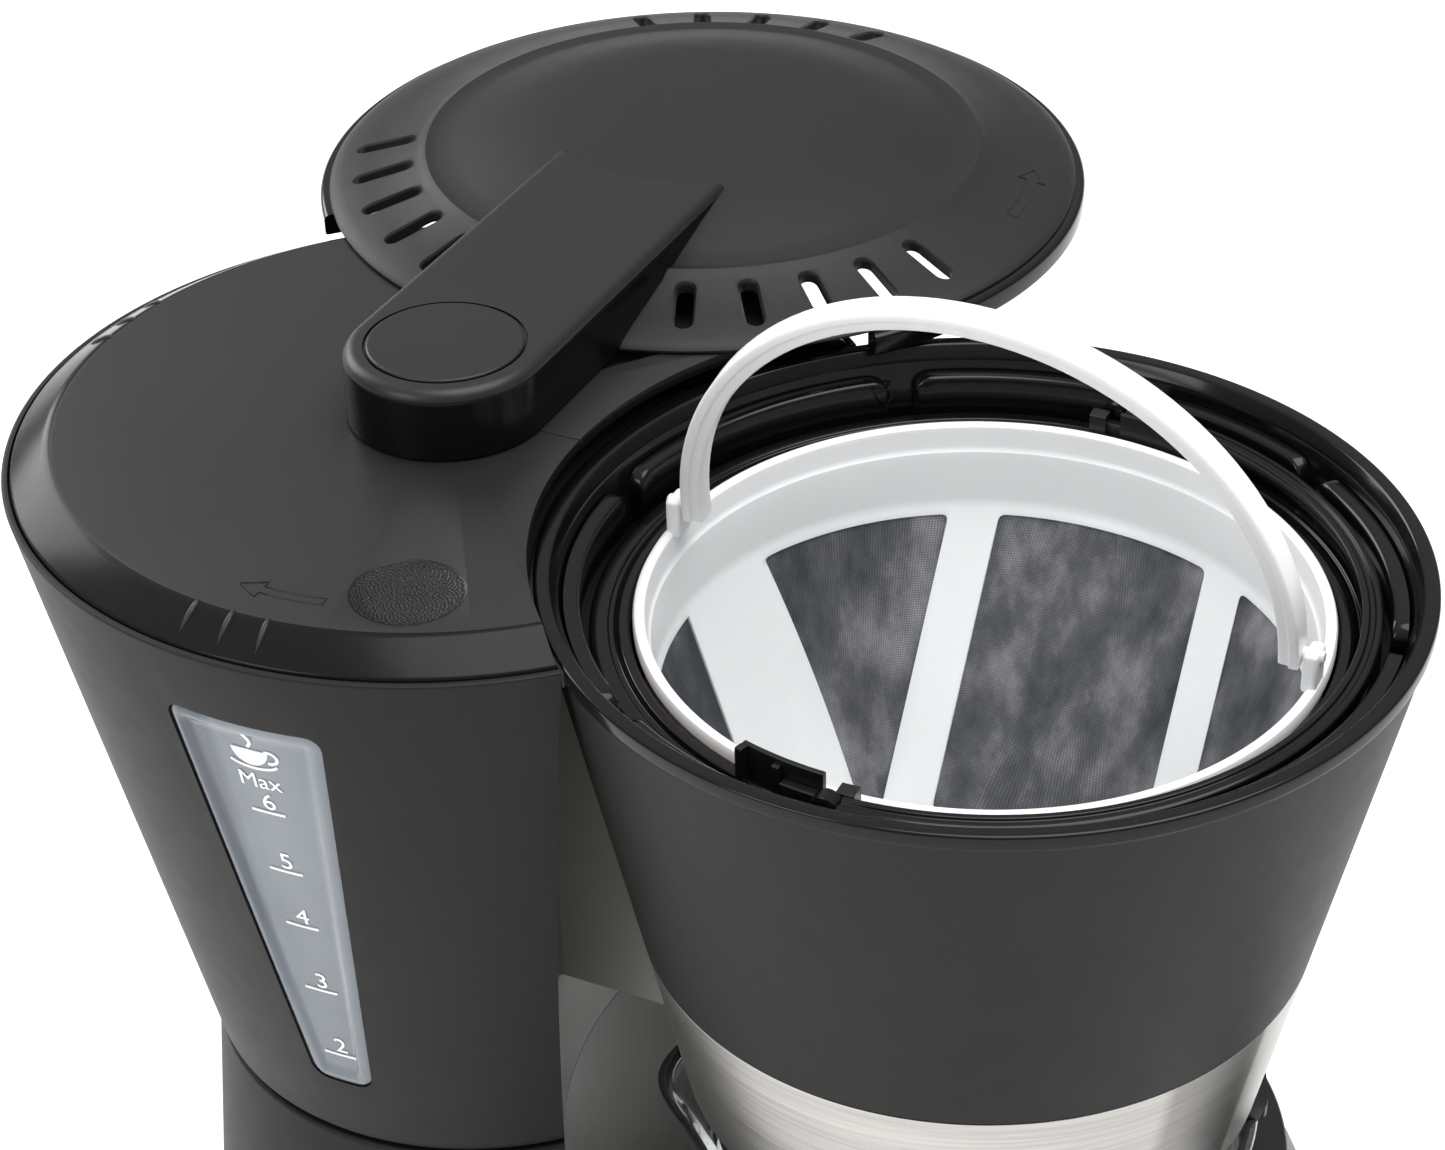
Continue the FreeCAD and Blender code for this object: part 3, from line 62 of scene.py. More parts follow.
ARM_TOP, ARM_LOW = RIM + 18.0, RIM + 4.9
HOUSING_R, HOUSING_TAPER = 75.0, 15.0 / 71.0
STEEL_TOP, STEEL_LOW = RIM - 71.0, RIM - 106.0
SHELF_Z = RIM - 13.0
JUG_TURN = 21.0
ARM_HALF = 18.0
CAP_R = 13.8
SLOT_R, SLOT_PITCH_DEG, SLOT_GROUPS_DEG = 62.9, 11.2, (134.0, 225.3, 15.0)
DISH_CENTRE, DISH_R = (-53.1, 79.1), 9.58
DOME = [(0, 17.6), (10, 17.58), (18, 17.5), (25, 17.2), (30, 16.9), (36, 16.0), (41, 14.8),
        (48.5, 12.6), (52.4, 11.4), (53.4, 11.4), (54.5, 11.7), (55.6, 11.2), (56.6, 10.5),
        (66, 8.1), (71, 6.7), (72.6, 6.0), (73.2, 5.6)]

low_corner, high_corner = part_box("filter_frame")
FILTER_X = (low_corner.x + high_corner.x) / 2.0
FILTER_Y = (low_corner.y + high_corner.y) / 2.0
random.seed(4)


def spot(x, y, z):
    """Machine millimetres to the frame's metres."""
    return Vector((FILTER_X + x * MM, FILTER_Y + y * MM, z * MM))


# ---------------------------------------------------------------- materials
class Nodes:
    """A material's node tree with short calls."""

    def __init__(self, name):
        self.material = bpy.data.materials.new(name)
        self.material.use_nodes = True
        self.tree = self.material.node_tree
        self.shader = self.tree.nodes["Principled BSDF"]

    def add(self, kind, **values):
        node = self.tree.nodes.new(kind)
        for key, value in values.items():
            setattr(node, key, value)
        return node

    def link(self, out, into):
        self.tree.links.new(out, into)

    def set(self, **values):
        for key, value in values.items():
            self.shader.inputs[key.replace("_", " ")].default_value = value

    def noise(self, scale, detail=3.0, stretch=None, roughness=0.55):
        coords = self.add("ShaderNodeTexCoord")
        source = coords.outputs["Object"]
        if stretch:
            mapping = self.add("ShaderNodeMapping")
            mapping.inputs["Scale"].default_value = stretch
            self.link(source, mapping.inputs["Vector"])
            source = mapping.outputs["Vector"]
        node = self.add("ShaderNodeTexNoise")
        node.inputs["Scale"].default_value = scale
        node.inputs["Detail"].default_value = detail
        node.inputs["Roughness"].default_value = roughness
        self.link(source, node.inputs["Vector"])
        return node.outputs["Fac"]

    def ramp(self, source, stops):
        node = self.add("ShaderNodeValToRGB")
        band = node.color_ramp
        while len(band.elements) < len(stops):
            band.elements.new(0.5)
        for element, (place, colour) in zip(band.elements, stops):
            element.position = place
            element.color = (*colour, 1.0)
        self.link(source, node.inputs["Fac"])
        return node.outputs["Color"]

    def spread(self, source, low, high):
        node = self.add("ShaderNodeMapRange")
        node.inputs["To Min"].default_value = low
        node.inputs["To Max"].default_value = high
        self.link(source, node.inputs["Value"])
        return node.outputs["Result"]

    def bump(self, source, distance, strength=1.0):
        node = self.add("ShaderNodeBump")
        node.inputs["Distance"].default_value = distance
        node.inputs["Strength"].default_value = strength
        self.link(source, node.inputs["Height"])
        return node.outputs["Normal"]


def moulded(name, dark, light, rough, grain=0.00002, grain_scale=2600.0, coat=0.0, specular=0.5):
    """Moulded plastic: a fine even grain, slow changes of tone, and small changes of gloss."""
    m = Nodes(name)
    tone = m.noise(14.0, 4.0)
    m.link(m.ramp(tone, [(0.3, dark), (0.7, light)]), m.shader.inputs["Base Color"])
    gloss = m.noise(160.0, 5.0)
    m.link(m.spread(gloss, rough - 0.05, rough + 0.05), m.shader.inputs["Roughness"])
    fine = m.noise(grain_scale, 2.0)
    m.link(m.bump(fine, grain), m.shader.inputs["Normal"])
    m.set(Specular_IOR_Level=specular, Coat_Weight=coat, Coat_Roughness=0.08)
    return m.material


def brushed(name, colour, rough, stretch):
    """Brushed sleeve: fine scratches round it, and broad upright light and dark bands painted into its
    colour by angle round it, as painted reflections of the room.
    """
    m = Nodes(name)
    lines = m.noise(90.0, 6.0, stretch, 0.7)
    coords = m.add("ShaderNodeTexCoord")
    centred = m.add("ShaderNodeMapping")
    centred.inputs["Location"].default_value = (-FILTER_X, -FILTER_Y, 0.0)
    m.link(coords.outputs["Object"], centred.inputs["Vector"])
    round_angle = m.add("ShaderNodeTexGradient", gradient_type="RADIAL")
    m.link(centred.outputs["Vector"], round_angle.inputs["Vector"])
    # Painted reflections: these shares lighten and darken the steel's colour by angle round the sleeve.
    painted_reflection_shares = [(0.0, 0.92), (0.10, 0.9), (0.148, 0.86), (0.156, 0.5), (0.18, 0.33), (0.211, 0.26),
              (0.215, 0.9), (0.25, 0.98), (0.30, 0.8), (0.5, 0.5), (0.76, 0.3), (0.84, 0.36),
              (0.88, 0.48), (0.93, 0.66), (0.955, 0.85), (1.0, 0.92)]
    stops = [(place, tuple(c * share for c in colour)) for place, share in painted_reflection_shares]
    mix = m.add("ShaderNodeMix", data_type="RGBA", blend_type="MULTIPLY")
    mix.inputs["Factor"].default_value = 1.0
    m.link(m.ramp(round_angle.outputs["Fac"], stops), mix.inputs["A"])
    m.link(m.ramp(lines, [(0.3, (0.66, 0.66, 0.66)), (0.7, (1.0, 1.0, 1.0))]), mix.inputs["B"])
    m.link(mix.outputs["Result"], m.shader.inputs["Base Color"])
    m.link(m.spread(lines, rough - 0.08, rough + 0.1), m.shader.inputs["Roughness"])
    m.link(m.bump(lines, 0.00003), m.shader.inputs["Normal"])
    m.set(Metallic=1.0, Anisotropic=0.6)
    return m.material


def metal(name, colour, rough, spots=400.0):
    m = Nodes(name)
    grain = m.noise(spots, 4.0)
    low = tuple(c * 0.82 for c in colour)
    m.link(m.ramp(grain, [(0.35, low), (0.65, colour)]), m.shader.inputs["Base Color"])
    m.link(m.spread(grain, rough - 0.06, rough + 0.08), m.shader.inputs["Roughness"])
    m.link(m.bump(grain, 0.00002), m.shader.inputs["Normal"])
    m.set(Metallic=1.0)
    return m.material


def gauze_cloth(name):
    """Fine woven nylon with pale clouds of dried coffee film."""
    m = Nodes(name)
    uv = m.add("ShaderNodeTexCoord").outputs["UV"]
    threads = []
    for direction in ("X", "Y"):
        wave = m.add("ShaderNodeTexWave", bands_direction=direction)
        wave.inputs["Scale"].default_value = 0.75
        wave.inputs["Distortion"].default_value = 0.0
        m.link(uv, wave.inputs["Vector"])
        threads.append(wave.outputs["Fac"])
    weave = m.add("ShaderNodeMath", operation="MULTIPLY")
    m.link(threads[0], weave.inputs[0])
    m.link(threads[1], weave.inputs[1])
    clouds = m.noise(70.0, 6.0, (1.0, 1.0, 0.45), 0.6)
    shade = m.ramp(clouds, [(0.36, (0.075, 0.083, 0.093)), (0.5, (0.16, 0.166, 0.178)),
                            (0.66, (0.40, 0.40, 0.42))])
    mix = m.add("ShaderNodeMix", data_type="RGBA", blend_type="MULTIPLY")
    m.link(m.spread(weave.outputs[0], 0.75, 0.0), mix.inputs["Factor"])
    m.link(shade, mix.inputs["A"])
    mix.inputs["B"].default_value = (0.3, 0.3, 0.32, 1.0)
    m.link(mix.outputs["Result"], m.shader.inputs["Base Color"])
    m.link(m.bump(weave.outputs[0], 0.00006), m.shader.inputs["Normal"])
    m.set(Roughness=0.7, Specular_IOR_Level=0.25)
    return m.material


def clear_glass(name):
    m = Nodes(name)
    ripple = m.noise(30.0, 2.0)
    m.link(m.bump(ripple, 0.0001, 0.4), m.shader.inputs["Normal"])
    m.link(m.spread(m.noise(220.0, 3.0), 0.0, 0.03), m.shader.inputs["Roughness"])
    m.set(Transmission_Weight=0.97, IOR=1.5, Base_Color=(0.97, 1.0, 0.98, 1.0), Coat_Weight=1.0,
          Coat_Roughness=0.02)
    return m.material


def tinted_window_with_painted_reflection(name):
    """Smoky blue-grey pane, with a painted dark reflection that darkens it towards its back edge."""
    m = Nodes(name)
    haze = m.noise(24.0, 4.0, (1.0, 1.0, 0.5))
    coords = m.add("ShaderNodeTexCoord")
    split = m.add("ShaderNodeSeparateXYZ")
    m.link(coords.outputs["Object"], split.inputs["Vector"])
    # Painted reflection: the pane's colour darkens towards its back edge.
    back = m.add("ShaderNodeMapRange")
    back.inputs["From Min"].default_value = FILTER_Y + (TANK_Y - 2.0) * MM
    back.inputs["From Max"].default_value = FILTER_Y + (TANK_Y + 14.0) * MM
    m.link(split.outputs["Y"], back.inputs["Value"])
    shade_mix = m.add("ShaderNodeMix", data_type="RGBA", blend_type="MULTIPLY")
    shade_mix.inputs["Factor"].default_value = 1.0
    m.link(m.ramp(haze, [(0.3, (0.15, 0.18, 0.205)), (0.7, (0.25, 0.285, 0.32))]),
           shade_mix.inputs["A"])
    m.link(m.ramp(back.outputs["Result"], [(0.0, (1.0, 1.0, 1.0)), (0.35, (0.8, 0.82, 0.85)),
                                           (0.5, (0.30, 0.36, 0.43)), (1.0, (0.16, 0.19, 0.23))]),
           shade_mix.inputs["B"])
    m.link(shade_mix.outputs["Result"], m.shader.inputs["Base Color"])
    m.link(m.spread(m.noise(300.0, 3.0), 0.14, 0.24), m.shader.inputs["Roughness"])
    m.link(m.bump(m.noise(60.0, 2.0), 0.00008, 0.5), m.shader.inputs["Normal"])
    m.set(Transmission_Weight=0.2, IOR=1.49, Coat_Weight=0.4, Coat_Roughness=0.05)
    return m.material


def white_plastic(name):
    m = Nodes(name)
    tone = m.noise(18.0, 4.0)
    m.link(m.ramp(tone, [(0.3, (0.85, 0.853, 0.86)), (0.7, (0.90, 0.902, 0.905))]),
           m.shader.inputs["Base Color"])
    m.link(m.spread(m.noise(260.0, 4.0), 0.26, 0.38), m.shader.inputs["Roughness"])
    m.link(m.bump(m.noise(1500.0, 2.0), 0.00001), m.shader.inputs["Normal"])
    m.set(Subsurface_Weight=0.12, Subsurface_Scale=0.004)
    return m.material

CHARCOAL = moulded("charcoal_body", (0.0088, 0.0087, 0.0081), (0.0112, 0.011, 0.0102), 0.52, specular=0.22)
LID_SATIN = moulded("lid_satin", (0.0145, 0.0145, 0.0138), (0.018, 0.018, 0.017), 0.4, specular=0.36)
ARM_SATIN = moulded("arm_satin", (0.0125, 0.0125, 0.012), (0.0155, 0.0155, 0.0148), 0.36, specular=0.34)
DISC_GRAIN = moulded("disc_grain", (0.014, 0.0138, 0.013), (0.0175, 0.017, 0.016), 0.45, specular=0.26)
GLOSS = moulded("gloss_black", (0.0025, 0.0025, 0.0025), (0.004, 0.004, 0.004), 0.14, 0.000003, 900.0,
                specular=0.28)
SATIN = moulded("satin_black", (0.005, 0.005, 0.005), (0.008, 0.008, 0.008), 0.30, 0.00001, 1800.0,
                specular=0.35)
RUBBER = moulded("foot_rubber", (0.018, 0.018, 0.018), (0.028, 0.028, 0.027), 0.75, 0.00004, 1400.0)
SILICONE = moulded("silicone", (0.50, 0.49, 0.46), (0.60, 0.59, 0.56), 0.5, 0.00001)
NATURAL = moulded("natural_plastic", (0.62, 0.61, 0.57), (0.70, 0.69, 0.65), 0.42)
CASES = moulded("control_case", (0.20, 0.18, 0.15), (0.28, 0.26, 0.22), 0.5)
LENS = moulded("red_lens", (0.30, 0.012, 0.010), (0.38, 0.02, 0.014), 0.15, coat=0.6)
PRINT = moulded("white_print", (0.93, 0.94, 0.95), (0.97, 0.98, 0.98), 0.5)
COATED = moulded("plate_coating", (0.014, 0.014, 0.015), (0.034, 0.034, 0.035), 0.38, 0.00005, 1200.0)
WHITE = white_plastic("filter_white")
GAUZE = gauze_cloth("filter_gauze")
GLASS = clear_glass("jug_glass")
WINDOW = tinted_window_with_painted_reflection("window_tint_painted_reflection")
# A darker, glossier copy of the arm's plastic for its side faces: the gloss is the sides' own, the darkness
# is painted shade.
ARM_SIDE_PAINTED_SHADE = moulded("arm_side_painted_shade", (0.0035, 0.0035, 0.0035), (0.005, 0.005, 0.005), 0.22, 0.000006, 1500.0,
                   specular=0.16)
# A glossier, darker copy of the lid's plastic for its sloped edge: the gloss is the edge's own, the
# darkness is painted shade.
GLOSS_EDGE_PAINTED_SHADE = moulded("lid_edge_gloss_painted_shade", (0.006, 0.006, 0.006), (0.009, 0.009, 0.0085), 0.2, 0.000006, 1500.0,
                     specular=0.14)
DISH = moulded("dish_pips", (0.010, 0.010, 0.0095), (0.014, 0.014, 0.0135), 0.34, specular=0.2)
# Painted light: a much paler copy of the charcoal body plastic for the bay, which lies in shade.
BAY_PAINTED_LIGHT = moulded("bay_wall_painted_light", (0.14, 0.14, 0.126), (0.17, 0.17, 0.152), 0.42, specular=0.4)
# The sleeve's upright bands are painted reflections in this material's colour.
STEEL = brushed("brushed_band", (0.66, 0.64, 0.61), 0.30, (0.25, 0.25, 14.0))
SCREWS = metal("plated_screw", (0.62, 0.61, 0.60), 0.32)
CAST = metal("heater_casting", (0.60, 0.60, 0.61), 0.5)
BRASS = metal("terminal_brass", (0.72, 0.52, 0.22), 0.3)


# ---------------------------------------------------------------- mesh tools
def soften(points, radius, steps=4):
    """Rounds every corner of a closed outline. radius is one number, or one for each corner."""
    count = len(points)
    radii = radius if isinstance(radius, (list, tuple)) else [radius] * count
    outline = []
    for i, corner in enumerate(points):
        here = Vector(corner).to_2d() if len(corner) > 2 else Vector(corner)
        before = Vector(points[i - 1]) - here
        after = Vector(points[(i + 1) % count]) - here
        reach = min(radii[i], 0.45 * before.length, 0.45 * after.length)
        if reach < 1e-4:
            outline.append(tuple(here))
            continue
        start = here + before.normalized() * reach
        end = here + after.normalized() * reach
        for k in range(steps + 1):
            t = k / steps
            outline.append(tuple(start * (1 - t) ** 2 + here * 2 * t * (1 - t) + end * t ** 2))
    return outline


def lathe(outline, axis=FILTER, steps=160, start=0.0, sweep=360.0):
    """Vertices and faces of a closed (radius, height) outline turned about a vertical axis."""
    whole = sweep >= 360.0
    rings = steps if whole else steps + 1
    count = len(outline)
    points, faces = [], []
    for i in range(rings):
        angle = math.radians(start + sweep * i / steps)
        points += [(axis[0] + r * math.cos(angle), axis[1] + r * math.sin(angle), z)
                   for r, z in outline]
    for i in range(steps):
        j = (i + 1) % rings
        for k in range(count):
            m = (k + 1) % count
            faces.append((i * count + k, j * count + k, j * count + m, i * count + m))
    if not whole:
        faces.append(tuple(range(count)))
        faces.append(tuple((rings - 1) * count + k for k in range(count)))
    return points, faces


def prism_faces(count, base=0):
    """Faces over two matching outlines of count points each, and of the wall between them."""
    low = tuple(base + k for k in range(count))
    high = tuple(base + count + k for k in reversed(range(count)))
    walls = [(base + k, base + (k + 1) % count, base + count + (k + 1) % count, base + count + k)
             for k in range(count)]
    return [low, high] + walls


def prism(outline, low, high):
    """Vertices and faces of a flat (x, y) outline between two heights."""
    return [(x, y, z) for z in (low, high) for x, y in outline], prism_faces(len(outline))


def slab(outline, x0, x1):
    """Vertices and faces of a flat (y, z) outline drawn out along X."""
    return [(x, y, z) for x in (x0, x1) for y, z in outline], prism_faces(len(outline))


def skin(levels, capped=True):
    """Vertices and faces of a surface over rings of equal length, with or without end caps."""
    count = len(levels[0])
    points = [point for level in levels for point in level]
    last = len(points) - count
    faces = []
    for low in range(0, last, count):
        for k in range(count):
            m = (k + 1) % count
            faces.append((low + k, low + m, low + count + m, low + count + k))
    if capped:
        faces.append(tuple(range(count)))
        faces.append(tuple(range(last, last + count)))
    return points, faces


def raw(name, shape):
    """An object from vertices in machine millimetres and faces, with clean outward normals."""
    points, faces = shape
    mesh = bpy.data.meshes.new(name)
    mesh.from_pydata([spot(*p) for p in points], [], faces)
    work = bmesh.new()
    work.from_mesh(mesh)
    bmesh.ops.remove_doubles(work, verts=work.verts, dist=2e-6)
    bmesh.ops.recalc_face_normals(work, faces=work.faces)
    work.to_mesh(mesh)
    work.free()
    obj = bpy.data.objects.new(name, mesh)
    bpy.context.scene.collection.objects.link(obj)
    return obj


def bake(obj):
    """Applies every modifier of an object."""
    graph = bpy.context.evaluated_depsgraph_get()
    mesh = bpy.data.meshes.new_from_object(obj.evaluated_get(graph))
    obj.modifiers.clear()
    obj.data = mesh


def combine(obj, others, operation="DIFFERENCE"):
    """Cuts the others out of obj one after another, or adds them to it."""
    for other in others:
        modifier = obj.modifiers.new("boolean", "BOOLEAN")
        modifier.operation = operation
        modifier.solver = "EXACT"
        modifier.object = other
        bake(obj)
        bpy.data.objects.remove(other)


def joined(name, shapes):
    """One vertices and faces pair from several that don't touch each other."""
    points, faces = [], []
    for some_points, some_faces in shapes:
        base = len(points)
        points += some_points
        faces += [tuple(i + base for i in face) for face in some_faces]
    return raw(name, (points, faces))


def rounded_edges(obj, width, segments, angle):
    """Adds a modifier that rounds edges sharper than the angle."""
    modifier = obj.modifiers.new("edge", "BEVEL")
    modifier.width = width * MM
    modifier.segments = segments
    modifier.limit_method = "ANGLE"
    modifier.angle_limit = math.radians(angle)


def rounded(obj, width, segments, angle):
    """Rounds an object's sharp edges for good."""
    rounded_edges(obj, width, segments, angle)
    bake(obj)


def thickened(obj, width):
    """Gives a single skin a thickness, inwards from its faces."""
    modifier = obj.modifiers.new("thick", "SOLIDIFY")
    modifier.thickness = width * MM
    modifier.offset = -1.0
    bake(obj)


def two_tone(obj, main, other, chosen):
    """Gives an object a second material on the faces that chosen picks."""
    obj.data.materials.append(main)
    obj.data.materials.append(other)
    for polygon in obj.data.polygons:
        polygon.material_index = 1 if chosen(polygon) else 0


def shade(obj, angle=32.0):
    """Smooth shading that stays crisp at edges sharper than the angle."""
    work = bmesh.new()
    work.from_mesh(obj.data)
    limit = math.radians(angle)
    for face in work.faces:
        face.smooth = True
    for edge in work.edges:
        if len(edge.link_faces) == 2:
            edge.smooth = edge.calc_face_angle(0.0) < limit
    work.to_mesh(obj.data)
    work.free()


def piece(obj, material, body, replaces=(), angle=32.0):
    """Gives a finished object its material, shading, body, and the CAD nodes it stands for."""
    if not obj.data.materials:
        obj.data.materials.append(material)
    shade(obj, angle)
    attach(obj, body)
    if replaces:
        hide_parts(*replaces)
    return obj


def turned(shape, degrees, axis=FILTER):
    """A vertices and faces pair turned about a vertical axis."""
    c, s = math.cos(math.radians(degrees)), math.sin(math.radians(degrees))
    points = [(axis[0] + (x - axis[0]) * c - (y - axis[1]) * s,
               axis[1] + (x - axis[0]) * s + (y - axis[1]) * c, z) for x, y, z in shape[0]]
    return points, shape[1]


def wedge(start, end, low, high, axis=TANK, reach=140.0):
    """A pie slice between two directions, for cutting."""
    steps = max(2, int(abs(end - start) / 10))
    outline = [axis]
    for k in range(steps + 1):
        angle = math.radians(start + (end - start) * k / steps)
        outline.append((axis[0] + reach * math.cos(angle), axis[1] + reach * math.sin(angle)))
    return prism(outline, low, high)


def cylinder(radius, low, high, axis=FILTER, steps=160):
    return lathe([(0.0, low), (radius, low), (radius, high), (0.0, high)], axis, steps)


def tube(path, radii, sides=10):
    """A round bar along a path of (x, y, z) points, with a radius at each point."""
    line = [Vector(p) for p in path]
    turns = [2 * math.pi * k / sides for k in range(sides)]
    levels = []
    for i, here in enumerate(line):
        along = (line[min(i + 1, len(line) - 1)] - line[max(i - 1, 0)]).normalized()
        side = along.cross(Vector((0, 0, 1)))
        side = side.normalized() if side.length > 0.05 else Vector((1, 0, 0))
        over = side.cross(along)
        levels.append([tuple(here + (side * math.cos(turn) + over * math.sin(turn)) * radii[i])
                       for turn in turns])
    return skin(levels)


def polar(axis, radius, degrees, z=0.0):
    angle = math.radians(degrees)
    return (axis[0] + radius * math.cos(angle), axis[1] + radius * math.sin(angle), z)


def housing_radius(z):
    return HOUSING_R + (z - RIM) * HOUSING_TAPER


def tank_radius(z):
    return WAIST_R + (TANK_R - WAIST_R) * (z - WAIST_Z) / (RIM - WAIST_Z)


def dome_height(radius):
    for (r0, z0), (r1, z1) in zip(DOME, DOME[1:]):
        if radius <= r1:
            return RIM + z0 + (z1 - z0) * (radius - r0) / (r1 - r0)
    return RIM + DOME[-1][1]


def cone_shape(low_r, high_r, low, high, axis=TANK, edge=(0.0, 0.0)):
    outline = soften([(0.0, low), (low_r, low), (high_r, high), (0.0, high)],
                     [0.0, edge[0], edge[1], 0.0])
    return lathe(outline, axis, 200)


# ---------------------------------------------------------------- tank, tower and lid
WINDOW_MID = 181.5
WINDOW_HIGH, WINDOW_LOW = RIM - 13.5, RIM - 106.0
WINDOW_HALF_HIGH, WINDOW_HALF_LOW = 14.5, 5.8
WINDOW_CORNER = 3.0


def window_half(z, grow=0.0):
    """Half width of the level window at a height, with rounded corners."""
    share = (z - WINDOW_LOW) / (WINDOW_HIGH - WINDOW_LOW)
    half = WINDOW_HALF_LOW + (WINDOW_HALF_HIGH - WINDOW_HALF_LOW) * share + grow
    end = min(z - (WINDOW_LOW - grow), (WINDOW_HIGH + grow) - z)
    if end < WINDOW_CORNER:
        inset = WINDOW_CORNER - max(end, 0.0)
        half -= WINDOW_CORNER - math.sqrt(max(0.0, WINDOW_CORNER ** 2 - inset ** 2))
    return half


def window_rows(grow=0.0, count=44):
    """Heights down the window, closer together at its rounded ends."""
    low, high = WINDOW_LOW - grow, WINDOW_HIGH + grow
    rows = []
    for k in range(count + 1):
        t = 0.5 - 0.5 * math.cos(math.pi * k / count)
        rows.append(low + (high - low) * t)
    return rows


def window_cutter():
    """Radial wedge through the tank wall with the window's outline."""
    rows = window_rows(0.15)
    outline = [(z, window_half(z, 0.15)) for z in rows]
    outline += [(z, -window_half(z, 0.15)) for z in reversed(rows)]
    points = []
    for radius in (36.0, 96.0):
        for z, half in outline:
            angle = WINDOW_MID + math.degrees(half / tank_radius(z))
            points.append(polar(TANK, radius, angle, z))
    return points, prism_faces(len(outline))


def on_bay(polygon):
    """Whether a face is part of the round bay behind the filter housing, which gets a much paler copy of
    the body's plastic as painted light.
    """
    outward = Vector((polygon.center.x - FILTER_X, polygon.center.y - FILTER_Y, 0.0))
    near = abs(outward.length / MM - BAY_R) < 0.4
    return near and polygon.normal.dot(outward.normalized()) < -0.995


def tank_body():
    body = raw("tank_body", cone_shape(WAIST_R, TANK_R, WAIST_Z, RIM, edge=(3.0, 0.7)))
    combine(body, [raw("cut", cylinder(BAY_R, 0, 400))])
    hollow = raw("hollow", cone_shape(WAIST_R - WALL + 0.6, TANK_R - WALL, WAIST_Z + 3, RIM + 0.1))
    combine(hollow, [raw("cut", cylinder(BAY_R + WALL, 0, 400))])
    column = raw("column", cylinder(11.0, WAIST_Z + 1, RIM - 6, TANK))
    combine(hollow, [column])
    combine(body, [hollow, raw("cut", cylinder(76.8, RIM - 2.1, RIM + 4, TANK)),
                   raw("cut", window_cutter()), raw("cut", cylinder(8.5, 100, 300, TANK)),
                   raw("cut", cylinder(6.2, 140, 170, (0, TANK_Y + 30)))])
    rounded(body, 0.5, 2, 40)
    # The bay faces get the paler copy of the plastic as painted light.
    two_tone(body, CHARCOAL, BAY_PAINTED_LIGHT, on_bay)
    return piece(body, CHARCOAL, "machine", ["tank_shell"])


def tower_body():
    body = raw("tower_body", cone_shape(63.4, WAIST_R, 36.1, WAIST_Z - 0.2, edge=(0.0, 1.0)))
    hollow = raw("hollow", cone_shape(63.4 - WALL, WAIST_R - WALL, 36.0, WAIST_Z))
    combine(hollow, [raw("cut", cylinder(BAY_R + WALL, 0, 400))])
    combine(body, [raw("cut", cylinder(BAY_R, 0, 400)), hollow])
    rounded(body, 0.6, 2, 40)
    # The bay faces get the paler copy of the plastic as painted light.
    two_tone(body, CHARCOAL, BAY_PAINTED_LIGHT, on_bay)
    return piece(body, CHARCOAL, "machine", ["tower_housing"])


def lid_outline(thick, outer, inner):
    """Section through the lid's skin: a flat top and a sloped edge."""
    edge = RIM + 0.3
    corners = [(inner, LID_TOP - thick), (LID_FLAT_R, LID_TOP - thick), (outer - 1.0, edge - thick),
               (outer, edge - thick), (outer, edge), (LID_FLAT_R, LID_TOP), (inner, LID_TOP)]
    return soften(corners, [0.2, 0.5, 0.2, 0.3, 0.5, 1.1, 0.3])


def slopes(polygon):
    """Whether a face slopes, where the lid is glossier than on its flat top and has a darker copy of its
    colour as painted shade.
    """
    return polygon.normal.z <= 0.985


def tank_lid():
    lid = raw("tank_lid_top", lathe(lid_outline(2.0, LID_R, 15.6), TANK, 200))
    combine(lid, [raw("cut", wedge(-90, 25, 200, 400)), raw("cut", cylinder(BAY_R + 0.2, 0, 400))])
    dish = raw("cut", cylinder(9.6, LID_TOP - 1.05, LID_TOP + 5, DISH_CENTRE, 96))
    combine(lid, [dish])
    rounded(lid, 0.35, 2, 40)
    # Sloped faces get the glossier copy, darkened as painted shade.
    two_tone(lid, LID_SATIN, GLOSS_EDGE_PAINTED_SHADE, slopes)
    return piece(lid, LID_SATIN, "lid", ["tank_lid"])


def thumb_dish():
    """Shallow bowl let into the lid, covered in small raised pips."""
    circles, spokes, pip_count = 92, 300, 640
    pip_edge, pip_height, bowl_depth = 9.1, 0.26, 1.0
    golden = math.pi * (3.0 - math.sqrt(5.0))
    pips = KDTree(pip_count)
    for k in range(pip_count):
        radius = pip_edge * math.sqrt((k + 0.5) / pip_count) + random.uniform(-0.12, 0.12)
        angle = k * golden + random.uniform(-0.12, 0.12) / max(radius, 1.0)
        pips.insert((radius * math.cos(angle), radius * math.sin(angle), 0.0), k)
    pips.balance()
    levels = []
    for i in range(circles + 1):
        radius = DISH_R * i / circles
        level = []
        for k in range(spokes):
            angle = 2 * math.pi * k / spokes
            x, y = radius * math.cos(angle), radius * math.sin(angle)
            z = LID_TOP - bowl_depth + bowl_depth * (radius / DISH_R) ** 4
            if radius < pip_edge:
                near = pips.find((x, y, 0.0))[2]
                z += pip_height * math.exp(-near * near / 0.045)
            level.append((DISH_CENTRE[0] + x, DISH_CENTRE[1] + y, z))
        levels.append(level)
    dish = raw("thumb_dish", skin(levels, capped=False))
    thickened(dish, 0.12)
    return piece(dish, DISH, "lid", angle=60.0)


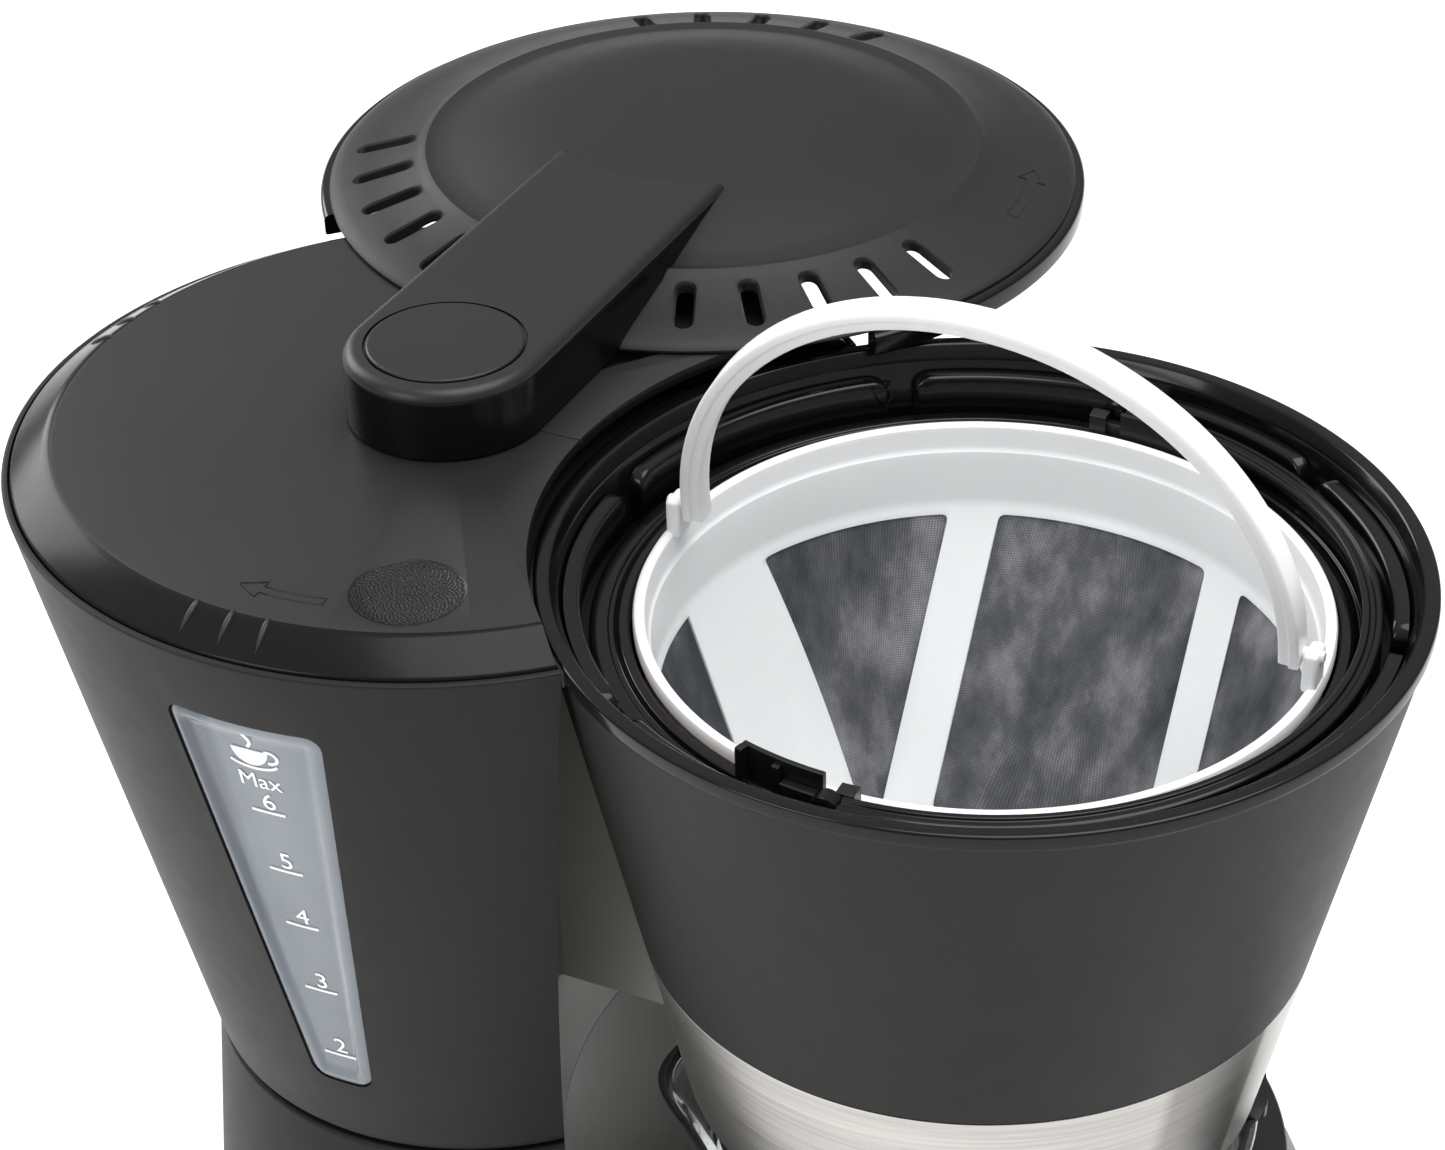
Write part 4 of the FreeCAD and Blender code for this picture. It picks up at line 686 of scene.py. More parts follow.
def arrow_line(axis, radius, start, end, height, half=0.9, head=4.2, head_half=2.3):
    """Raised outline of a long arrow that follows a circle; height gives z at a radius."""
    turn = 1 if end > start else -1
    head_deg = turn * math.degrees(head / radius)
    neck = end - head_deg
    body = [start + (neck - start) * k / 12 for k in range(13)]
    outline = [(radius + half, a) for a in body]
    outline += [(radius + head_half, neck), (radius, end), (radius - head_half, neck)]
    outline += [(radius - half, a) for a in reversed(body)]
    outline.append(outline[0])
    path = [polar(axis, r, a, height(r)) for r, a in outline]
    dense = []
    for first, second in zip(path, path[1:]):
        a, b = Vector(first), Vector(second)
        steps = max(1, int((b - a).length / 0.8))
        dense += [tuple(a.lerp(b, k / steps)) for k in range(steps)]
    dense.append(path[-1])
    return tube(dense, [0.17] * len(dense), 6)


def lid_ribs():
    shapes = []
    for angle in (174.0, 179.7, 185.0, 80.0, 86.0, 92.0):
        path, radii = [], []
        for k in range(9):
            t = k / 8
            radius = 68.6 + 6.2 * t
            path.append(polar(TANK, radius, angle, slope_height(radius) - 0.12))
            radii.append(0.12 + 0.5 * math.sin(math.pi * min(1.0, t * 1.15)) ** 0.7 if t < 1 else 0.1)
        shapes.append(tube(path, radii, 10))
    shapes.append(arrow_line(TANK, 62.0, 190.6, 176.4, lambda r: LID_TOP + 0.02))
    ribs = joined("lid_ribs", shapes)
    return piece(ribs, LID_SATIN, "lid", angle=50.0)


def slope_height(radius):
    """Height of the lid's top face at a radius."""
    if radius <= LID_FLAT_R:
        return LID_TOP
    return LID_TOP - (LID_TOP - RIM - 0.3) * (radius - LID_FLAT_R) / (LID_R - LID_FLAT_R)


def deck():
    front = raw("deck_plate", lathe(lid_outline(2.2, LID_R - 0.3, 15.1), TANK, 200))
    combine(front, [raw("cut", wedge(-37.2, 270.3, 200, 400)),
                    raw("cut", cylinder(BAY_R + 0.2, 0, 400))])
    rounded(front, 0.3, 2, 40)
    # Sloped faces get the glossier copy, darkened as painted shade.
    two_tone(front, LID_SATIN, GLOSS_EDGE_PAINTED_SHADE, slopes)
    return piece(front, LID_SATIN, "machine", ["deck_front"])


# ---------------------------------------------------------------- level window
def tank_spot(degrees, z, out=0.0):
    return polar(TANK, tank_radius(z) + out, degrees, z)


def level_window():
    """Curved tinted pane with a raised border round a sunk middle."""
    columns = 30
    rows = window_rows()
    points, faces = [], []
    for z in rows:
        half = max(window_half(z), 0.05)
        for k in range(columns + 1):
            across = -1 + 2 * k / columns
            offset = half * across
            edge = min(half - abs(offset), z - WINDOW_LOW, WINDOW_HIGH - z)
            sink = 0.15 + 0.75 * min(1.0, max(0.0, (edge - 2.0) / 0.9))
            crown = 0.25 * min(1.0, max(0.0, edge / 0.7)) - 0.25
            angle = WINDOW_MID + math.degrees(offset / tank_radius(z))
            points.append(tank_spot(angle, z, crown - sink))
    width = columns + 1
    for i in range(len(rows) - 1):
        for k in range(columns):
            faces.append((i * width + k, i * width + k + 1, (i + 1) * width + k + 1,
                          (i + 1) * width + k))
    pane = raw("level_pane", (points, faces))
    if pane.data.polygons[len(pane.data.polygons) // 2].normal.x > 0:
        pane.data.flip_normals()
    thickened(pane, 1.3)
    return piece(pane, WINDOW, "machine", ["level_window"], angle=50.0)


def printed(name, outlines):
    """Thin raised print from flat pieces of (across, height) outlines on the pane."""
    points, faces = [], []
    for outline in outlines:
        faces += prism_faces(len(outline), len(points))
        for out in (-0.89, -0.68):
            for across, z in outline:
                angle = WINDOW_MID + math.degrees(across / tank_radius(z))
                points.append(tank_spot(angle, z, out))
    marks = raw(name, (points, faces))
    return piece(marks, PRINT, "machine", angle=40.0)


def strip(path, width):
    """Outline of a thin band along a path of (across, height) points."""
    left, right = [], []
    for i, here in enumerate(path):
        a = Vector(path[max(i - 1, 0)])
        b = Vector(path[min(i + 1, len(path) - 1)])
        along = (b - a).normalized()
        side = Vector((-along.y, along.x)) * width / 2
        left.append(tuple(Vector(here) + side))
        right.append(tuple(Vector(here) - side))
    return left + right[::-1]


def arc_path(cx, cz, rx, rz, start, end, steps=14):
    return [(cx + rx * math.cos(math.radians(start + (end - start) * k / steps)),
             cz + rz * math.sin(math.radians(start + (end - start) * k / steps)))
            for k in range(steps + 1)]


def lettering(text, size, across, z, name):
    """Text laid on the pane's curve."""
    curve = bpy.data.curves.new(name, "FONT")
    curve.body = text
    curve.size = size
    curve.extrude = 0.05
    curve.align_x = "CENTER"
    holder = bpy.data.objects.new(name, curve)
    bpy.context.scene.collection.objects.link(holder)
    bpy.context.view_layer.update()
    graph = bpy.context.evaluated_depsgraph_get()
    mesh = bpy.data.meshes.new_from_object(holder.evaluated_get(graph))
    bpy.data.objects.remove(holder)
    for vertex in mesh.vertices:
        u, v, w = vertex.co
        height = z + v
        angle = WINDOW_MID + math.degrees((across + u) / tank_radius(height))
        vertex.co = spot(*tank_spot(angle, height, -0.78 + w))
    obj = bpy.data.objects.new(name, mesh)
    bpy.context.scene.collection.objects.link(obj)
    return piece(obj, PRINT, "machine", angle=40.0)

LEVELS = [("6", -33.7), ("5", -48.4), ("4", -62.5), ("3", -79.7), ("2", -97.7)]


def level_marks():
    shapes = []
    for figure, depth in LEVELS:
        z = RIM + depth
        lettering(figure, 5.4, 1.2, z, f"level_{figure}")
        shapes.append(strip([(-2.6 + 0.8 * k, z - 0.9) for k in range(9)], 0.5))
    lettering("Max", 4.8, 0.6, RIM - 28.6, "level_max")
    cup = RIM - 21.6
    brim = [(2.6 - 0.8 * k, cup + 2.0) for k in range(7)]
    shapes.append(arc_path(0.2, cup + 2.0, 3.4, 3.6, 180, 360) + brim)
    shapes.append(strip(arc_path(3.7, cup + 0.9, 1.6, 1.3, -100, 110), 0.55))
    shapes.append(strip(arc_path(0.4, cup - 0.6, 4.6, 1.7, 200, 345), 0.5))
    steam = [(0.1 + 0.7 * math.sin(k / 2.2), cup + 2.6 + k * 0.36) for k in range(9)]
    shapes.append(strip(steam, 0.6))
    printed("level_marks", shapes)


# ---------------------------------------------------------------- arm and disc
def arm_outline(half, end_gap):
    """Plan of the arm: round at the pivot, hollow where it meets the dome."""
    outline = []
    for k in range(33):
        angle = math.radians(90 + 180 * k / 32)
        outline.append((half * math.cos(angle), TANK_Y + half * math.sin(angle)))
    for k in range(17):
        y = -half + 2 * half * k / 16
        outline.append((TANK_Y - math.sqrt((32.0 + end_gap) ** 2 - y * y), TANK_Y + y))
    return outline


def swivel_arm():
    rounding, inset = 2.6, 2.4
    levels = [(ARM_HALF, ARM_LOW), (ARM_HALF, ARM_TOP - rounding)]
    for k in range(1, 6):
        turn = math.radians(90 * k / 5)
        levels.append((ARM_HALF - inset * (1 - math.cos(turn)),
                       ARM_TOP - rounding + rounding * math.sin(turn)))
    arm = raw("arm_shell", skin([[(x, y, z) for x, y in arm_outline(half, 0.0)]
                                 for half, z in levels]))
    under = [(r, RIM + z + 0.02) for r, z in DOME] + [(73.4, RIM + 4.0), (73.4, RIM - 9), (0, RIM - 9)]
    hollow_outline = [(x * 0.86, TANK_Y + (y - TANK_Y) * 0.86) for x, y in arm_outline(ARM_HALF, 8.0)]
    combine(arm, [raw("cut", lathe(under, DISC, 200)),
                  raw("cut", prism(hollow_outline, ARM_LOW - 2, ARM_TOP - 4.4))])
    combine(arm, [raw("cut", lathe([(13.85, ARM_TOP - 0.8), (14.35, ARM_TOP - 0.8),
                                    (14.35, ARM_TOP + 2), (13.85, ARM_TOP + 2)], TANK, 96))])
    # The arm's side faces get a darker copy of its plastic as painted shade.
    two_tone(arm, ARM_SATIN, ARM_SIDE_PAINTED_SHADE, lambda face: face.normal.z < 0.35)
    return piece(arm, ARM_SATIN, "arm", ["swivel_arm"], angle=38.0)


def pivot_cap():
    top = ARM_TOP + 0.3
    outline = soften([(0, ARM_TOP - 1.1), (13.8, ARM_TOP - 1.1), (13.8, top - 0.05), (12.6, top),
                      (0, top)], [0, 0.1, 0.5, 0.3, 0])
    cap = raw("pivot_disc", lathe(outline, TANK, 128))
    return piece(cap, ARM_SATIN, "arm", ["pivot_cap"])


def slot_plan(half_length, half_width, angle):
    outline = []
    for side in (1, -1):
        for k in range(11):
            turn = math.radians(-90 + 180 * k / 10)
            x = side * (half_length - half_width + half_width * math.cos(turn))
            y = side * half_width * math.sin(turn)
            outline.append((x, y))
    c, s = math.cos(math.radians(angle)), math.sin(math.radians(angle))
    return [(DISC[0] + (SLOT_R + x) * c - y * s, DISC[1] + (SLOT_R + x) * s + y * c)
            for x, y in outline]


def slot_angles():
    return [middle + (k - 2) * SLOT_PITCH_DEG for middle in SLOT_GROUPS_DEG for k in range(5)]


def disc_cover():
    outer = [(r, RIM + z) for r, z in DOME]
    inner = [(max(r - 0.6, 0), RIM + z - 2.0) for r, z in DOME if r < 71]
    outline = outer + [(73.6, RIM + 5.2), (73.6, RIM + 4.8), (71.4, RIM + 4.8)] + inner[::-1]
    cover = raw("disc_dome", lathe(outline, DISC, 240))
    lips = joined("lip", [dished(slot_plan(6.15, 2.05, a), slot_plan(5.8, 1.75, a))
                          for a in slot_angles()])
    slots = joined("cut", [prism(slot_plan(5.75, 1.7, a), RIM - 2, RIM + 30) for a in slot_angles()])
    combine(cover, [lips, slots])
    return piece(cover, DISC_GRAIN, "arm", ["disc_cover"], angle=34.0)


def dished(wide, narrow):
    """Funnel cutter that softens a slot's upper edge, following the dome's slope."""
    levels = []
    for outline, drop in ((narrow, -0.5), (narrow, -0.42), (wide, 0.04), (wide, 3.0)):
        levels.append([(x, y, dome_height(math.hypot(x - DISC[0], y - DISC[1])) + drop)
                       for x, y in outline])
    return skin(levels)


def disc_details():
    arrow = joined("disc_arrow", [arrow_line(DISC, 65.5, -90.0, -72.7,
                                             lambda r: dome_height(r) + 0.03, 1.0, 4.6, 2.6)])
    piece(arrow, DISC_GRAIN, "arm", angle=50.0)
    outline = soften([(71.3, RIM + 0.6), (75.5, RIM + 0.6), (75.5, RIM + 4.2), (74.7, RIM + 4.8),
                      (71.3, RIM + 4.8)], [0.1, 0.6, 0.5, 0.4, 0.1])
    flange = raw("disc_rim", lathe(outline, DISC, 240))
    combine(flange, [raw("cut", cylinder(79.0, 200, 400, TANK))])
    piece(flange, GLOSS, "arm", ["disc_flange"])


# ---------------------------------------------------------------- filter housing
def glossy_inside(polygon):
    """Whether a face of the housing is on its top band or its inside, which are glossy."""
    centre = polygon.center
    radius = math.hypot(centre.x - FILTER_X, centre.y - FILTER_Y) / MM
    height = centre.z / MM
    inside = radius < housing_radius(height) - 0.95 and height > STEEL_LOW + 0.5
    return height > RIM - 2.7 or inside


def housing():
    step_r = housing_radius(STEEL_TOP)
    low_r = housing_radius(STEEL_LOW)
    inner_top = housing_radius(RIM - 2.4) - 3.4
    corners = [(16, STEEL_LOW), (low_r - 0.9, STEEL_LOW), (step_r - 0.9, STEEL_TOP),
               (step_r, STEEL_TOP), (housing_radius(RIM - 3.2), RIM - 3.2), (HOUSING_R, RIM - 2.6),
               (HOUSING_R, RIM), (HOUSING_R - 2.6, RIM), (inner_top, RIM - 2.4),
               (housing_radius(STEEL_TOP) - 3.4, STEEL_TOP), (low_r - 3.4, STEEL_LOW + 3.0),
               (16, STEEL_LOW + 3.0)]
    radii = [0.3, 0.3, 0.1, 0.3, 0.3, 0.3, 0.7, 0.5, 0.4, 0, 2.0, 0.3]
    body = raw("housing_body", lathe(soften(corners, radii), FILTER, 240))
    two_tone(body, CHARCOAL, GLOSS, glossy_inside)
    piece(body, CHARCOAL, "machine", ["filter_housing"])
    band_outline = soften([(low_r - 0.8, STEEL_LOW), (low_r, STEEL_LOW),
                           (housing_radius(STEEL_TOP - 0.2), STEEL_TOP - 0.2),
                           (housing_radius(STEEL_TOP - 0.2) - 0.8, STEEL_TOP - 0.2)],
                          [0.1, 0.3, 0.3, 0.1])
    band = raw("steel_sleeve", lathe(band_outline, FILTER, 240))
    piece(band, STEEL, "machine", ["steel_band"])

GROOVES = (35, 87, 145, 215, 280, 325)


def liner():
    shelf = soften([(61.6, SHELF_Z - 2.0), (68.4, SHELF_Z - 2.0), (68.4, SHELF_Z),
                    (61.6, SHELF_Z)], [0.3, 0.3, 0.3, 0.6])
    obj = raw("liner_shelf", lathe(shelf, FILTER, 200))
    shapes = []
    for index, angle in enumerate(GROOVES):
        end = GROOVES[(index + 1) % len(GROOVES)] + (360 if index == len(GROOVES) - 1 else 0)
        shapes.append(wall_panel(angle + 1.9, end - 1.9))
    panels = joined("liner_panels", shapes)
    piece(panels, GLOSS, "machine", angle=40.0)
    return piece(obj, GLOSS, "machine", ["housing_liner"])


def wall_panel(start, end):
    """Raised panel on the housing's inner wall with rounded upper corners."""
    steps, corner = 40, 3.4
    low, high = SHELF_Z - 0.1, RIM - 4.4
    face_r, back_r = 67.5, 70.2
    length = math.radians(end - start) * (face_r + 1.5)
    levels = []
    for k in range(steps + 1):
        t = 0.5 - 0.5 * math.cos(math.pi * k / steps)
        from_end = min(t, 1 - t) * length
        top = high
        if from_end < corner:
            top = high - corner + math.sqrt(max(0.0, corner ** 2 - (corner - from_end) ** 2))
        section = ((face_r, low), (face_r, top - 0.7), (face_r + 0.3, top - 0.2),
                   (face_r + 0.8, top), (back_r, top), (back_r - 0.6, low))
        levels.append([polar(FILTER, radius, start + (end - start) * t, z) for radius, z in section])
    return skin(levels)


def triangle_marks():
    """Small raised triangles that point to the basket's seat."""
    radius, z = 67.45, RIM - 8.0
    corners = [(-2.2, 1.9), (2.2, 1.9), (0.0, -2.0), (-2.2, 1.9)]
    path = []
    for (a0, b0), (a1, b1) in zip(corners, corners[1:]):
        path += [(a0 + (a1 - a0) * k / 4, b0 + (b1 - b0) * k / 4) for k in range(4)]
    path.append(corners[-1])
    shapes = []
    for degrees in (140.6, 37.8):
        line = [polar(FILTER, radius, degrees + math.degrees(a / radius), z + b) for a, b in path]
        shapes.append(tube(line, [0.18] * len(line), 6))
    marks = joined("seat_marks", shapes)
    piece(marks, GLOSS, "machine", angle=50.0)


# ---------------------------------------------------------------- basket
def wall_arc(inner, outer, start, end, low, high):
    """Short curved block with rounded upper edges."""
    outline = soften([(inner, low), (outer, low), (outer, high), (inner, high)], [0.1, 0.1, 0.4, 0.4])
    return lathe(outline, FILTER, max(3, int(end - start)), start, end - start)


def basket():
    floor = RIM - 95.0
    corners = [(3.0, floor), (5.2, floor), (5.2, RIM - 107.5), (7.2, RIM - 107.5),
               (7.2, floor - 1.5), (38.2, floor - 1.5), (60.4, RIM - 27.0), (60.9, SHELF_Z - 2.0),
               (60.9, SHELF_Z + 0.2), (66.3, SHELF_Z + 0.2), (66.3, SHELF_Z + 1.6),
               (65.4, SHELF_Z + 2.4), (63.2, SHELF_Z + 2.4), (62.9, SHELF_Z + 1.9),
               (61.8, SHELF_Z + 1.9), (61.5, SHELF_Z + 2.9), (59.6, SHELF_Z + 2.9),
               (59.2, SHELF_Z + 1.6), (59.0, SHELF_Z - 2.2), (58.6, RIM - 26.0),
               (36.6, floor + 1.0), (3.0, floor + 1.0)]
    body = raw("basket_body", lathe(soften(corners, 0.5, 3), FILTER, 200))
    piece(body, GLOSS, "basket", ["filter_basket"])
    blocks = ((59.4, 60.4, -16.6, -2.2, 3.9), (60.3, 62.2, -16.6, -15.4, 3.9),
              (60.3, 61.5, -10.4, -9.2, 4.8), (60.3, 62.2, -8.6, 0.6, 7.0), (59.2, 62.2, 0.5, 3.4, 5.2))
    shapes = [wall_arc(inner, outer, side + start, side + end, SHELF_Z + 1.6, RIM - depth)
              for side in (0, 180) for inner, outer, start, end, depth in blocks]
    lugs = joined("basket_lugs", shapes)
    piece(lugs, SATIN, "basket", angle=40.0)


def basket_bail():
    z = RIM - 6.4
    outline = soften([(62.6, z - 1.3), (66.2, z - 1.3), (66.2, z + 0.9), (65.6, z + 1.3),
                      (64.9, z + 1.3), (64.7, z + 0.8), (63.9, z + 0.8), (63.7, z + 1.3),
                      (62.6, z + 1.3)], 0.3, 3)
    hoop = lathe(outline, FILTER, 120, 182.0, 176.0)
    shapes = [hoop]
    for side in (-1, 1):
        path = [(side * 62.7, 0, z), (side * 63.1, 0, z), (side * 65.7, 0, z), (side * 66.1, 0, z)]
        shapes.append(tube(path, [1.9, 2.4, 2.4, 1.9], 24))
    bail = joined("basket_handle_ring", shapes)
    return piece(bail, GLOSS, "basket_handle", ["basket_bail"], angle=40.0)


# ---------------------------------------------------------------- white filter
FILTER_RIM_Z, THROAT_Z, FILTER_LOW = RIM - 8.2, RIM - 24.0, RIM - 84.0
THROAT_R, LOW_R, LOW_HALF = 55.8, 20.0, 15.0
FILTER_TURN = -3.0
PANE_LOW, PANE_HIGH = FILTER_LOW + 8.0, THROAT_Z - 2.0


def oblong(radius, half, z, steps=192):
    """Ring of points of a slot lying along Y, a circle when half is 0."""
    ring = []
    for k in range(steps + 1):
        angle = math.radians(-90 + 180 * k / steps)
        ring.append((radius * math.cos(angle), radius * math.sin(angle) + half * math.copysign(1, angle)
                     if k != steps // 2 else 0.0, z))
    ring += [(-x, -y, z) for x, y, _ in ring]
    return ring


def funnel_ring(skin, z):
    """Ring of the filter's funnel at a height: round at the throat, oblong at the bottom."""
    drop = min(1.0, max(0.0, (THROAT_Z - z) / (THROAT_Z - FILTER_LOW)))
    return oblong(THROAT_R + (LOW_R - THROAT_R) * drop + skin, LOW_HALF * drop, z)


def pane_cutters():
    shapes = []
    middle = soften([(-20.4, PANE_LOW), (20.4, PANE_LOW), (20.4, PANE_HIGH), (-20.4, PANE_HIGH)], 1.3)
    shapes.append(slab(middle, 3, 80))
    shapes.append(slab(middle, -80, -3))
    for end in (-1, 1):
        slanted = soften([(end * 28.7, PANE_LOW), (end * 31.5, PANE_LOW), (end * 52.3, PANE_HIGH),
                          (end * 28.7, PANE_HIGH)], [0.4, 0.6, 1.3, 1.3])
        shapes.append(slab(slanted, 3, 80))
        square = soften([(end * 28.7, PANE_LOW), (end * 62, PANE_LOW), (end * 62, PANE_HIGH),
                         (end * 28.7, PANE_HIGH)], [1.3, 0, 0, 1.3])
        shapes.append(slab(square, -80, -4))
    return [turned(shape, FILTER_TURN) for shape in shapes]


def filter_body():
    rim = FILTER_RIM_Z
    outer = [(57.2, THROAT_Z), (57.35, rim - 6), (57.6, rim - 3.6), (58.5, rim - 2.9), (58.9, rim - 2.4),
             (58.9, rim - 0.9), (58.6, rim - 0.3), (58.0, rim), (57.4, rim - 0.1), (56.9, rim - 0.5),
             (56.7, rim - 1.2), (56.6, rim - 4.2), (56.4, rim - 4.8), (56.0, rim - 5.2),
             (55.8, rim - 6.2), (THROAT_R, THROAT_Z + 1.0), (THROAT_R, THROAT_Z)]
    levels = [funnel_ring(-0.6, FILTER_LOW - 1.5), funnel_ring(0.6, FILTER_LOW - 1.2),
              funnel_ring(1.4, FILTER_LOW - 0.4), funnel_ring(1.5, FILTER_LOW + 0.6),
              funnel_ring(1.5, THROAT_Z - 1.0)]
    levels += [oblong(r, 0.0, z) for r, z in outer]
    levels += [funnel_ring(0.0, THROAT_Z - 1.0), funnel_ring(0.0, FILTER_LOW + 2.2),
               funnel_ring(-0.4, FILTER_LOW + 1.0), funnel_ring(-1.4, FILTER_LOW + 0.3),
               funnel_ring(-2.6, FILTER_LOW)]
    body = raw("filter_cone", turned(skin(levels), FILTER_TURN))
    combine(body, [joined("cut", pane_cutters())])
    drains = joined("cut", [turned(cylinder(3.0, FILTER_LOW - 5, FILTER_LOW + 3, (0, -24.0 + 12.0 * k), 28),
                                   FILTER_TURN) for k in range(5)])
    combine(body, [drains])
    rounded(body, 0.22, 2, 50)
    piece(body, WHITE, "filter", ["filter_frame"])
    shapes = []
    for side in (1, -1):
        corners = soften([(-2.6, side * 55.8), (2.6, side * 55.8), (2.6, side * 58.4),
                          (-2.6, side * 58.4)], 0.9)
        shapes.append(prism(corners, rim - 1.2, RIM - 2.0))
    ears = joined("filter_ears", shapes)
    rounded(ears, 0.9, 4, 50)
    piece(ears, WHITE, "filter", angle=40.0)


def gauze():
    """Woven sleeve moulded into the middle of the funnel's wall."""
    rows = 20
    heights = [PANE_LOW - 0.6 + (PANE_HIGH - PANE_LOW + 1.2) * i / rows for i in range(rows + 1)]
    levels = [[turned(([p], []), FILTER_TURN)[0][0] for p in funnel_ring(0.75, z)] for z in heights]
    points, faces = skin(levels, capped=False)
    count = len(levels[0])
    corners = []
    along = [0.0]
    middle = levels[rows // 2]
    for k in range(count):
        step = Vector(middle[(k + 1) % count]) - Vector(middle[k])
        along.append(along[-1] + step.length)
    for i in range(rows):
        for k in range(count):
            low, high = heights[i] * 1.06, heights[i + 1] * 1.06
            corners += [(along[k], low), (along[k + 1], low), (along[k + 1], high), (along[k], high)]
    mesh = bpy.data.meshes.new("filter_gauze")
    mesh.from_pydata([spot(*p) for p in points], [], faces)
    layer = mesh.uv_layers.new(name="weave")
    for loop, corner in zip(layer.data, corners):
        loop.uv = corner
    cloth = bpy.data.objects.new("filter_cloth", mesh)
    bpy.context.scene.collection.objects.link(cloth)
    thickened(cloth, 0.25)
    return piece(cloth, GAUZE, "filter", ["filter_mesh"], angle=60.0)


def filter_bail():
    """White arch of a stepped section, leaned back on its pins."""
    base = RIM - 3.4
    lean = math.radians(10.0)
    middle = 53.4
    section = soften([(-2.6, 1.9), (-2.6, 0.2), (-2.0, 0.0), (-2.0, -1.9), (2.0, -1.9), (2.0, 0.0),
                      (2.6, 0.2), (2.6, 1.9)], [0.7, 0.3, 0.2, 0.6, 0.6, 0.2, 0.3, 0.7], 3)
    path = [(-middle, -1.6), (-middle, -0.6), (-middle, 0.2)]
    for k in range(61):
        angle = math.pi - math.pi * k / 60
        path.append((middle * math.cos(angle), 0.5 + middle * math.sin(angle)))
    path += [(middle, 0.2), (middle, -0.6), (middle, -1.6)]
    levels = []
    for y, up in path:
        level = []
        radial = Vector((y, up - 0.5)).normalized() if up > 0.5 else Vector((math.copysign(1, y), 0))
        for across, out in section:
            yy = y + radial.x * out
            zz = up + radial.y * out
            x = across * math.cos(lean) - zz * math.sin(lean)
            z = across * math.sin(lean) + zz * math.cos(lean)
            level.append((x, yy, base + z))
        levels.append(level)
    shapes = [skin(levels)]
    for side in (-1, 1):
        pin = [(0, side * 53.4, base), (0, side * 58.6, base), (0, side * 58.9, base)]
        shapes.append(tube(pin, [1.2, 1.2, 0.9], 20))
    arch = joined("filter_arch", shapes)
    return piece(arch, WHITE, "filter_handle", ["filter_bail"], angle=35.0)


# ---------------------------------------------------------------- jug
GLASS_LINE = [(0, 39.9), (46, 39.9), (52, 40.1), (58, 41.9), (62, 46.5), (64.6, 52), (67.4, 59),
              (69, 67), (69, 80), (69, 92), (68.3, 100), (66.5, 108), (63.3, 116), (59, 124),
              (53.5, 131), (49.2, 135.4), (48, 139), (48, 146), (49.5, 151), (52, 156.5),
              (53, 160.5)]


def jug_glass():
    thick = 2.4
    inner = [(max(0.0, r - thick * min(1.0, r / 20.0)), z + (thick if r < 55 and z < 45 else 0.4))
             for r, z in GLASS_LINE[:-1]]
    outline = GLASS_LINE + [(52.6, 161.3), (51.4, 161.4), (50.7, 160.4)] + inner[::-1]
    points, faces = lathe(outline, FILTER, 192)
    shaped = []
    for x, y, z in points:
        if z > 147.0:
            away = abs(math.atan2(x, y))
            lift = ((z - 147.0) / 14.0) ** 1.4
            pull = 1.0 + 0.105 * lift * math.exp(-(away / 0.22) ** 2)
            x, y = x * pull, y * pull
        shaped.append((x, y, z))
    glass = raw("jug_body", turned((shaped, faces), JUG_TURN))
    return piece(glass, GLASS, "carafe", ["carafe_glass"], angle=60.0)


def jug_handle():
    """Open grip drawn from its side and given a rounded width."""
    reach, top = -122.0, 147.4
    side_line = [(-55.6, 138.4), (-55.6, top), (-59.4, top - 2), (-64, top - 13),
                 (reach + 26, top - 15), (reach + 10, top - 15.6), (reach + 3, top - 19),
                 (reach, top - 27), (reach + 2, top - 52), (reach + 9, top - 76),
                 (reach + 16, top - 81), (reach + 21, top - 77), (reach + 15, top - 50),
                 (reach + 14, top - 34), (reach + 19, top - 26), (reach + 34, top - 25),
                 (-72.6, top - 25), (-64.6, top - 21)]
    line = soften(side_line, [0.5, 0.5, 3, 5, 7, 6, 7, 12, 20, 6, 4, 6, 20, 10, 6, 8, 5, 4], 6)
    grip = raw("jug_grip", turned(slab(line, -10, 10), JUG_TURN))
    rounded(grip, 3.2, 5, 50)
    crescent = soften([(51.0, 147.8), (55.9, 147.6), (56.3, 147.0), (56.3, 139.6), (59.3, 139.6),
                       (59.3, 150.0), (51.0, 150.0)], [0.3, 0.3, 0.3, 0.3, 0.8, 1.3, 0.5])
    rest = raw("thumb_rest", lathe(crescent, FILTER, 48, -112.0 + JUG_TURN, 44.0))
    rounded(rest, 0.8, 3, 60)
    piece(rest, SATIN, "carafe", angle=50.0)
    return piece(grip, SATIN, "carafe", ["carafe_handle"], angle=50.0)


def jug_lid():
    rim, top = 160.5, 166.0
    corners = [(0, top - 5.0), (26, top - 8.0), (30, rim - 14), (44.5, rim - 14), (44.8, rim - 11),
               (47.8, rim - 3), (47.8, rim + 0.6), (42, rim + 2.4), (32, rim + 2.4),
               (26, top - 4.2), (9, top - 3.2), (7, top), (0, top)]
    lid = raw("jug_cover", lathe(soften(corners, 0.9), FILTER, 160))
    holes = joined("cut", [cylinder(2.4, 140, 180, polar(FILTER, 14, 60 * k)[:2], 24)
                           for k in range(6)])
    combine(lid, [holes])
    tab = raw("tab", turned(prism(soften([(-7, -46), (7, -46), (7, -54.5), (-7, -54.5)],
                                         [0, 0, 4, 4]), rim + 0.5, rim + 3.0), JUG_TURN))
    combine(lid, [tab], "UNION")
    rounded(lid, 0.5, 2, 45)
    return piece(lid, SATIN, "carafe_cover", ["carafe_lid"])


